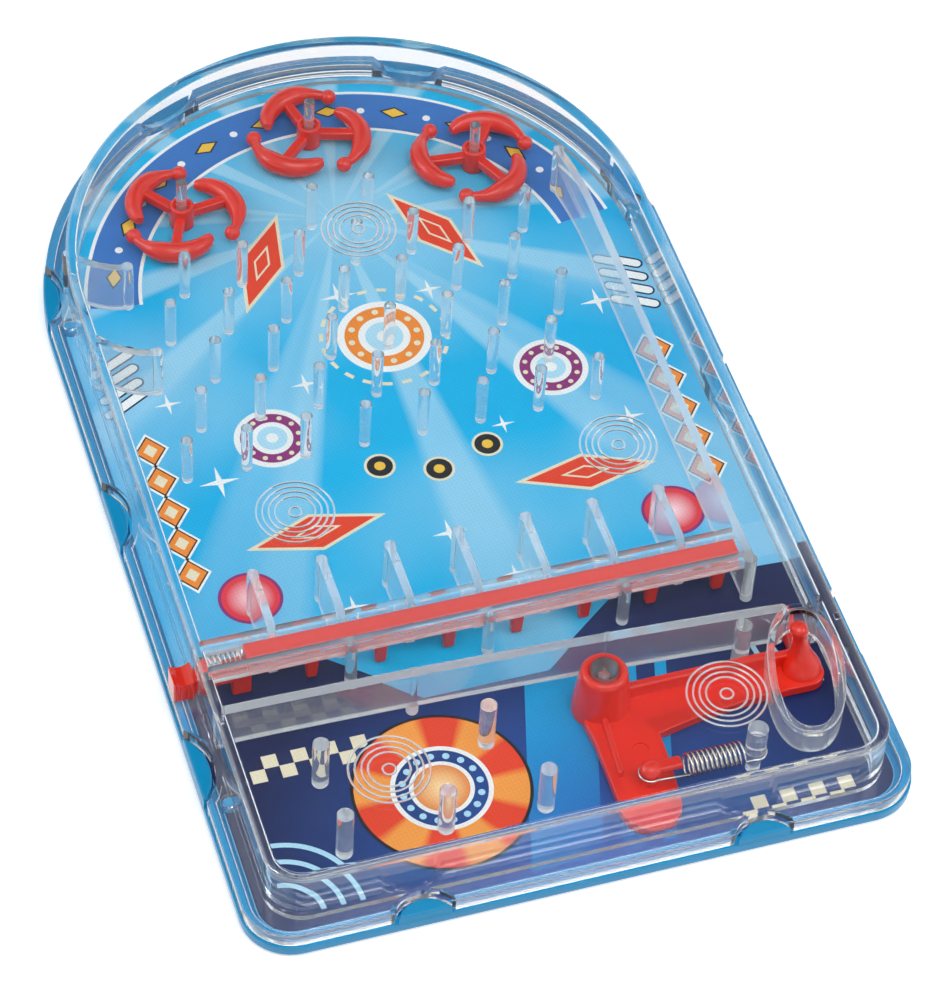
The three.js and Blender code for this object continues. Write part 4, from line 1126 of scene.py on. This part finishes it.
class PINBALL_OT_lever(bpy.types.Operator):
    """Makes the red launch lever"""

    bl_idname = "pinball.lever"
    bl_label = "Launch lever"

    def execute(self, context):
        game = context.scene.pinball
        size = game.lever
        low = game.cover.foot
        top = low + size.web
        root = top - 0.5 * MM
        px, py = size.pivot_x, size.pivot_y
        arm_reach, arm_drop, arm_radius = 43.4 * MM, 3.4 * MM, 3.6 * MM
        leg_reach, leg_offset, foot_radius = 25.4 * MM, 1.7 * MM, 6.3 * MM

        def on_leg(*shares):
            return [(px + x * leg_reach, py + y * leg_reach) for x, y in shares]

        def on_arm(*shares):
            return [(px + x * arm_reach, py + y * arm_reach) for x, y in shares]

        # Web, its ribs and the boss
        web = (prism, [
            (px, py + size.rib / 2), *on_leg((-0.2, -0.16), (-0.178, -0.39), (-0.181, -0.78)),
            *arc(px + leg_offset, py - leg_reach, foot_radius, math.pi, FULL, 20), *on_leg((0.34, -0.72)),
            *on_arm((0.205, -0.253), (0.438, -0.205), (0.876, -0.16)),
            *arc(px + arm_reach, py - arm_drop, arm_radius, -QUARTER, QUARTER * 0.7, 14),
            (px + arm_reach, py + size.rib / 2),
        ], low, top, 0.35 * MM, 0.2 * MM)
        rise, rim = size.boss_top, size.boss_radius
        boss = (lathe, [(0, low), (size.boss_foot, low), (size.boss_foot - 0.1 * MM, top + 1 * MM),
                        (rim, rise - 1.2 * MM), (rim - 0.15 * MM, rise - 0.65 * MM),
                        (rim - 0.5 * MM, rise - 0.2 * MM), (rim - 1 * MM, rise), (0, rise)], px, py, 56)
        arm_rib = (prism, bar_outline(on_arm((0, 0), (1, 0)), size.rib), root, top + size.rib_rise, 0.6 * MM)
        leg_rib = (prism, bar_outline(on_leg((-0.04, -0.12), (-0.09, -0.74)), 1.2 * MM), root,
                   top + 1.8 * MM, 0.4 * MM)
        left = px + arm_reach - 1.8 * MM
        striker = (block, left, left + 2.5 * MM, py - arm_drop, py + 10.8 * MM, top - 1.1 * MM,
                   top + 3.4 * MM, 0.5 * MM, 3)

        def knob(bm):
            """The finger knob, which leans towards the rear and the left."""
            rise, radius = 16.6 * MM - root, 4.2 * MM
            shares = ((0, 0), (1, 0), (0.99, 0.06), (0.95, 0.12), (0.88, 0.18), (0.79, 0.24), (0.69, 0.3),
                      (0.6, 0.37), (0.53, 0.44), (0.47, 0.52), (0.42, 0.6), (0.385, 0.68), (0.37, 0.74),
                      (0.385, 0.785), (0.43, 0.83), (0.455, 0.88), (0.43, 0.93), (0.33, 0.97),
                      (0.18, 0.993), (0, 1))
            lathe(bm, [(r * radius, root + z * rise) for r, z in shares], px + 42.8 * MM, py - 2.2 * MM, 40)
            lean = Matrix.Identity(4)
            lean[0][2], lean[1][2] = -1.1 * MM / rise, 2.4 * MM / rise
            shift = Matrix.Translation((0, 0, root))
            bmesh.ops.transform(bm, matrix=shift @ lean @ shift.inverted(), verts=bm.verts[:])

        # Hook post with its lip, the dimple and the bore
        x, y = px + HOOK[0], py - HOOK[1]
        head = size.coil_height + size.wire / 2 + 0.3 * MM
        cap = mm((1.5, 0), (2.0, 0), (2.25, 0.3), (2.2, 0.8), (1.7, 1.5), (0.9, 1.9), (0, 2))
        hook = (lathe, [(0, root), (1.5 * MM, root), *[(out, head + up) for out, up in cap]], x, y, 36)
        lip = block, x, x + HOOK_LIP, y - 1.3 * MM, y + 1.3 * MM, head, head + 1.5 * MM, 0.4 * MM, 3
        dimple = (lathe, [(0, top - 0.35 * MM), (1.8 * MM, top - 0.35 * MM), (2 * MM, top + 1 * MM),
                          (0, top + 1 * MM)], *on_leg((0.146, -0.551))[0], 32)
        wide, over = size.bore + 0.4 * MM, 20 * MM
        bore = (lathe, [(0, 0), (size.bore, 0), (size.bore, rise - 0.4 * MM), (wide, rise + 0.1 * MM),
                        (wide, over), (0, over)], px, py, 48)
        lever = assemble("launch_lever", web, (ADD, boss, arm_rib, leg_rib, striker, (knob,), hook, lip),
                         (CUT, dimple, bore))
        dress(lever, red_plastic(game), "lever", ["launcher_lever"], 40)
        return {"FINISHED"}


def coil_points(left, right, y, z, radius, turns, phase=0.0):
    """Points of a coil along X."""
    steps = 20
    count = int(turns * steps)
    start, end = spot(left, y, z), spot(right, y, z)
    turns_at = [phase + FULL * i / steps for i in range(count + 1)]
    return [start.lerp(end, i / count) + Vector((0, radius * math.cos(turn), radius * math.sin(turn)))
            for i, turn in enumerate(turns_at)]


def wire_piece(name, points, diameter, game):
    """A round wire along points, as a mesh."""
    curve = bpy.data.curves.new(name, "CURVE")
    curve.dimensions = "3D"
    curve.bevel_depth = diameter / 2
    curve.bevel_resolution = 3
    curve.use_fill_caps = True
    line = curve.splines.new("POLY")
    line.points.add(len(points) - 1)
    for target, point in zip(line.points, points):
        target.co = (*point, 1)
    shape = linked(name + "_path", curve)
    mesh = evaluated_mesh(shape)
    bpy.data.objects.remove(shape)
    bpy.data.curves.remove(curve)
    mesh.name = name
    piece = linked(name, mesh)
    mesh.shade_smooth()
    mesh.materials.clear()
    mesh.materials.append(material_named("drawn_steel", metal, game.finish.steel, 0.16, 0.12))
    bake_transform(piece)
    return piece


class PINBALL_OT_launch_spring(bpy.types.Operator):
    """Makes the launch lever's spring with its two hooks"""

    bl_idname = "pinball.launch_spring"
    bl_label = "Launch spring"

    def execute(self, context):
        game = context.scene.pinball
        size = game.lever
        hook = (size.pivot_x + HOOK[0], size.pivot_y - HOOK[1])
        fixed = (size.post_x, size.post_y)
        z, loop, pitch = size.coil_height, 2.3 * MM, 1 * MM
        left = hook[0] + HOOK_LIP + 0.6 * MM + size.wire / 2
        right = left + size.turns * pitch
        points = [spot(x, y, z) for x, y in arc(*hook, loop, math.radians(70), math.radians(290), 24)]
        points += coil_points(left, right, (hook[1] + fixed[1]) / 2, z, size.coil_radius, size.turns, math.pi)
        points += [spot(x, y, z) for x, y in arc(*fixed, loop, math.radians(-110), math.radians(110), 24)]
        spring = wire_piece("launch_coil", points, size.wire, game)
        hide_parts("launcher_spring")
        return {"FINISHED"}


class PINBALL_OT_slider(bpy.types.Operator):
    """Makes the red release slider and its return spring"""

    bl_idname = "pinball.slider"
    bl_label = "Release slider"

    def execute(self, context):
        game = context.scene.pinball
        size = game.slider
        y, foot = game.cover.channel_y, game.cover.foot
        root = size.bar_low + 0.5 * MM
        outer, inner = size.knob_outer, size.knob_outer + size.knob
        grip = 2.5 * MM

        def box(x0, x1, half, low, high, *rounding):
            return block, x0, x1, y - half, y + half, low, high, *rounding

        def teeth(bm):
            """Seven teeth that taper to their feet, rounded but for their roots."""
            rooted = size.tooth, size.tooth_depth, root
            footed = size.tooth_foot, size.tooth_depth * 0.8, foot
            for i in range(7):
                x = -40.4 * MM + i * game.cover.slot_pitch
                made = cube(bm, (1, 1, 1), (0, 0, 0))
                for vert in made:
                    wide, deep, z = rooted if vert.co.z > 0 else footed
                    vert.co = spot(x + vert.co.x * wide, y + vert.co.y * deep, z)
                edges = [e for v in made for e in v.link_edges
                         if not all(abs(w.co.z - root) < 1e-6 for w in e.verts)]
                round_edges(bm, edges, 0.55 * MM, 4)

        bar = box(size.bar_left, size.bar_right, size.bar / 2, size.bar_low, size.bar_low + size.bar,
                  0.35 * MM, 3)
        end_tooth = box(-57.2 * MM, -53.2 * MM, 1.2 * MM, foot, 12.1 * MM, 0.4 * MM, 3)
        arm = box(outer + 0.5 * MM, -53.7 * MM, 1.7 * MM, 7.8 * MM, 12 * MM, 0.4 * MM, 3)
        knob = box(outer, inner, grip, 7.2 * MM, 13.4 * MM, 0.45 * MM, 3)
        dip = rod, 2.6 * MM, 2.6 * MM, 8 * MM, "X", spot(outer + size.knob / 2, y, 14.7 * MM), 64
        grips = []
        for i in range(5):
            x = outer + (0.7 + 0.8 * i) * MM
            for side in SIDES:
                edge = y + side * grip
                grips.append((block, x - 0.15 * MM, x + 0.15 * MM, edge - 0.2 * MM, edge + 0.2 * MM, 7.6 * MM,
                              11.4 * MM, 0.08 * MM))
        slider = assemble("slider_bar", bar, (ADD, (teeth,), arm, end_tooth, knob, grips), (CUT, dip))
        dress(slider, red_plastic(game), "slider", ["release_slider"], 40)
        left = -62.7 * MM + 0.5 * MM
        right = size.bar_left - 0.3 * MM - size.spring_wire / 2
        points = coil_points(left, right, y, size.spring_z, size.spring_radius, 7)
        spring = wire_piece("slider_coil", points, size.spring_wire, game)
        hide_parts("slider_spring")
        return {"FINISHED"}


class PINBALL_OT_spinners(bpy.types.Operator):
    """Makes the three red spinners"""

    bl_idname = "pinball.spinners"
    bl_label = "Spinners"

    def execute(self, context):
        phases = (78, 53.5, 5.4)
        for place, name, phase in zip(spinner_places(), ("left", "centre", "right"), phases):
            self.make_spinner(context.scene.pinball, place, name, math.radians(phase))
        return {"FINISHED"}

    def make_spinner(self, game, place, name, phase):
        """One spinner: a hub, three spokes and three paddles with their balls."""
        size = game.spinner
        cx, cy = place
        top, foot = size.hub_top, 2.8 * MM
        starts = [phase + FULL / 3 * i for i in range(3)]
        sweep = math.radians(100)
        thick_shares = (0.4, 0.46, 0.52, 0.64, 0.82, 0.95, 1, 1, 1, 0.98, 0.95, 0.91, 0.85, 0.78, 0.68, 0.42)
        ring_turns = [FULL * k / 16 for k in range(16)]

        def spokes(bm):
            for start in starts:
                made = cube(bm, (10.2 * MM, size.spoke, 2.3 * MM), (5.4 * MM, 0, size.middle))
                turn = Matrix.Rotation(start + sweep / 2, 3, "Z")
                bmesh.ops.rotate(bm, verts=made, cent=(0, 0, 0), matrix=turn)
                bmesh.ops.translate(bm, verts=made, vec=spot(cx, cy))
                round_edges(bm, [e for v in made for e in v.link_edges], 0.45 * MM, 3)

        def paddle(start):
            """A bowed bar whose thickness swells and tapers along its sweep."""
            sections = []
            for i, thickness in enumerate(thick_shares):
                part = i / (len(thick_shares) - 1)
                angle = start + sweep * part
                reach = size.ball_reach + (size.tip_reach - size.ball_reach) * part
                reach += 4 * size.bow * part * (1 - part)
                half, rise = thickness * size.thick / 2, thickness * size.tall / 2
                sections.append([spot(cx + (reach + half * math.cos(turn)) * math.cos(angle),
                                      cy + (reach + half * math.cos(turn)) * math.sin(angle),
                                      size.middle + rise * math.sin(turn)) for turn in ring_turns])
            return loft, sections

        hub = (lathe, [(0, foot), (size.hub, foot), (size.hub, top - 0.3 * MM), (size.hub - 0.3 * MM, top),
                       (0, top)], cx, cy, 40)
        balls = [(ball, spot(cx + size.ball_reach * math.cos(start), cy + size.ball_reach * math.sin(start),
                             size.middle), size.ball, 3) for start in starts]
        cup = (lathe, [(0, 0), (1.5 * MM, 0), (1.5 * MM, top - 1.2 * MM), (1.9 * MM, top - 1.2 * MM),
                       (1.9 * MM, top + 1 * MM), (0, top + 1 * MM)], cx, cy, 36)
        piece = assemble(f"spinner_wheel_{name}", hub,
                         (ADD, (spokes,), *[paddle(start) for start in starts], balls), (CUT, cup))
        dress(piece, red_plastic(game), f"spinner_{name}_body", [f"spinner_{name}"], 50)


class PINBALL_OT_balls(bpy.types.Operator):
    """Makes the six steel balls"""

    bl_idname = "pinball.steel_balls"
    bl_label = "Steel balls"

    def execute(self, context):
        finish = context.scene.pinball.finish
        chrome = material_named("polished_steel", metal, finish.chrome, 0.07, 0.05)
        for i in range(1, 7):
            low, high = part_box(f"steel_ball_{i}")
            polished = solid((ball, (low + high) / 2, (high.z - low.z) / 2, 4), f"ball_{i}_polished")
            dress(polished, chrome, f"ball_{i}", [f"steel_ball_{i}"], 180)
        return {"FINISHED"}


class PINBALL_OT_stage(bpy.types.Operator):
    """Sets the floor, the lamps and the camera"""

    bl_idname = "pinball.stage"
    bl_label = "Stage"

    def execute(self, context):
        stage = context.scene.pinball.stage
        flat = math.cos(stage.rise)
        back = Vector((math.sin(stage.heading) * flat, -math.cos(stage.heading) * flat, math.sin(stage.rise)))
        self.lay_floor()
        self.set_world(stage, back)
        self.set_lamps(stage)
        self.set_camera(context.scene, stage, back)
        context.scene.view_settings.view_transform = "Standard"
        return {"FINISHED"}

    def seen_share(self, tree, path):
        """1 for rays that show the background, straight, in gloss or through glass, else 0."""
        straight = maths(tree, "LESS_THAN", path["Diffuse Depth"], 0.5)
        mirrored = maths(tree, "MAXIMUM", path["Is Glossy Ray"], path["Is Transmission Ray"])
        return maths(tree, "MULTIPLY", maths(tree, "MAXIMUM", path["Is Camera Ray"], mirrored), straight)

    def lay_floor(self):
        """A matt white floor, which shows brighter the farther it is from the case."""
        def floor_shader(tree):
            seen = self.seen_share(tree, node(tree, "LightPath").outputs)
            away = node(tree, "VectorMath", {0: object_place(tree)}, operation="LENGTH").outputs["Value"]
            strength = maths(tree, "MULTIPLY", seen, ramp(tree, away, 0.3, 0.8, 0.4, 1.0))
            return principled(tree, {"Base Color": (1, 1, 1), "Roughness": 1.0, "Specular IOR Level": 0.0,
                                     "Emission Color": (1, 1, 1), "Emission Strength": strength})

        def grid(bm):
            bmesh.ops.create_grid(bm, x_segments=1, y_segments=1, size=3)

        floor = solid((grid,), "floor")
        floor.data.materials.append(material_named("pale_floor", floor_shader))

    def set_world(self, stage, back):
        """White surroundings, with a dark screen where the flat cover mirrors them to the camera."""
        world = bpy.data.worlds.new("studio")
        world.use_nodes = True
        bpy.context.scene.world = world
        tree = world.node_tree
        background = tree.nodes["Background"].inputs
        path = node(tree, "LightPath").outputs
        generated = node(tree, "TexCoord").outputs["Generated"]
        toward = node(tree, "VectorMath", {0: generated, 1: (-back.x, -back.y, back.z)},
                      operation="DOT_PRODUCT")
        screen = ramp(tree, toward.outputs["Value"], math.cos(stage.screen * 1.6), math.cos(stage.screen))
        unseen = maths(tree, "SUBTRACT", 1, path["Is Camera Ray"])
        shade = blend_colours(tree, maths(tree, "MULTIPLY", screen, unseen), (1.0, 1.0, 1.0), stage.ceiling)
        strength = maths(tree, "MULTIPLY_ADD", self.seen_share(tree, path), 1 - stage.ambient, stage.ambient)
        tree.links.new(shade, background["Color"])
        tree.links.new(strength, background["Strength"])

    def set_lamps(self, stage):
        for name, power, place, size in (("top_lamp", stage.key, (0.0, -0.42, 1.05), 0.8),
                                         ("left_lamp", stage.fill, (-0.9, 0.3, 0.55), 0.5),
                                         ("right_lamp", stage.fill, (0.8, -0.5, 0.6), 0.5)):
            data = bpy.data.lights.new(name, "AREA")
            data.energy = power
            data.size = size
            lamp = linked(name, data)
            lamp.location = place
            lamp.rotation_euler = Vector(place).to_track_quat("Z", "Y").to_euler()

    def set_camera(self, scene, stage, back):
        right = Vector((math.cos(stage.heading), math.sin(stage.heading), 0))
        up = back.cross(right)
        c, s = math.cos(stage.roll), math.sin(stage.roll)
        place = Matrix((right * c + up * s, up * c - right * s, back)).transposed().to_4x4()
        place.translation = spot(stage.target_x, stage.target_y) + back * stage.distance
        data = bpy.data.cameras.new("photo_camera")
        data.lens = stage.lens
        data.sensor_fit = "HORIZONTAL"
        data.clip_start = 0.05
        scene.camera = linked("photo_camera", data)
        scene.camera.matrix_world = place


MAKERS = ("stage", "card", "print_shapes", "tray", "cover", "lever", "launch_spring", "slider", "spinners",
          "steel_balls")


class PINBALL_PT_panel(bpy.types.Panel):
    """Lists the game's operators"""

    bl_label = "Pinball game"
    bl_idname = "PINBALL_PT_panel"
    bl_space_type = "VIEW_3D"
    bl_region_type = "UI"
    bl_category = "Pinball"

    def draw(self, context):
        for name in MAKERS:
            self.layout.operator(f"pinball.{name}")


CLASSES = (
    PINBALL_PG_tray, PINBALL_PG_cover, PINBALL_PG_lever, PINBALL_PG_slider, PINBALL_PG_spinner,
    PINBALL_PG_print, PINBALL_PG_finish, PINBALL_PG_stage, PINBALL_PG_game,
    PINBALL_OT_stage, PINBALL_OT_card, PINBALL_OT_print, PINBALL_OT_tray, PINBALL_OT_cover,
    PINBALL_OT_lever, PINBALL_OT_launch_spring, PINBALL_OT_slider, PINBALL_OT_spinners,
    PINBALL_OT_balls, PINBALL_PT_panel,
)


def register():
    for cls in CLASSES:
        bpy.utils.register_class(cls)
    bpy.types.Scene.pinball = PointerProperty(type=PINBALL_PG_game)


def unregister():
    del bpy.types.Scene.pinball
    for cls in reversed(CLASSES):
        bpy.utils.unregister_class(cls)


def main():
    register()
    for name in MAKERS:
        getattr(bpy.ops.pinball, name)()


if __name__ == "__main__":
    main()
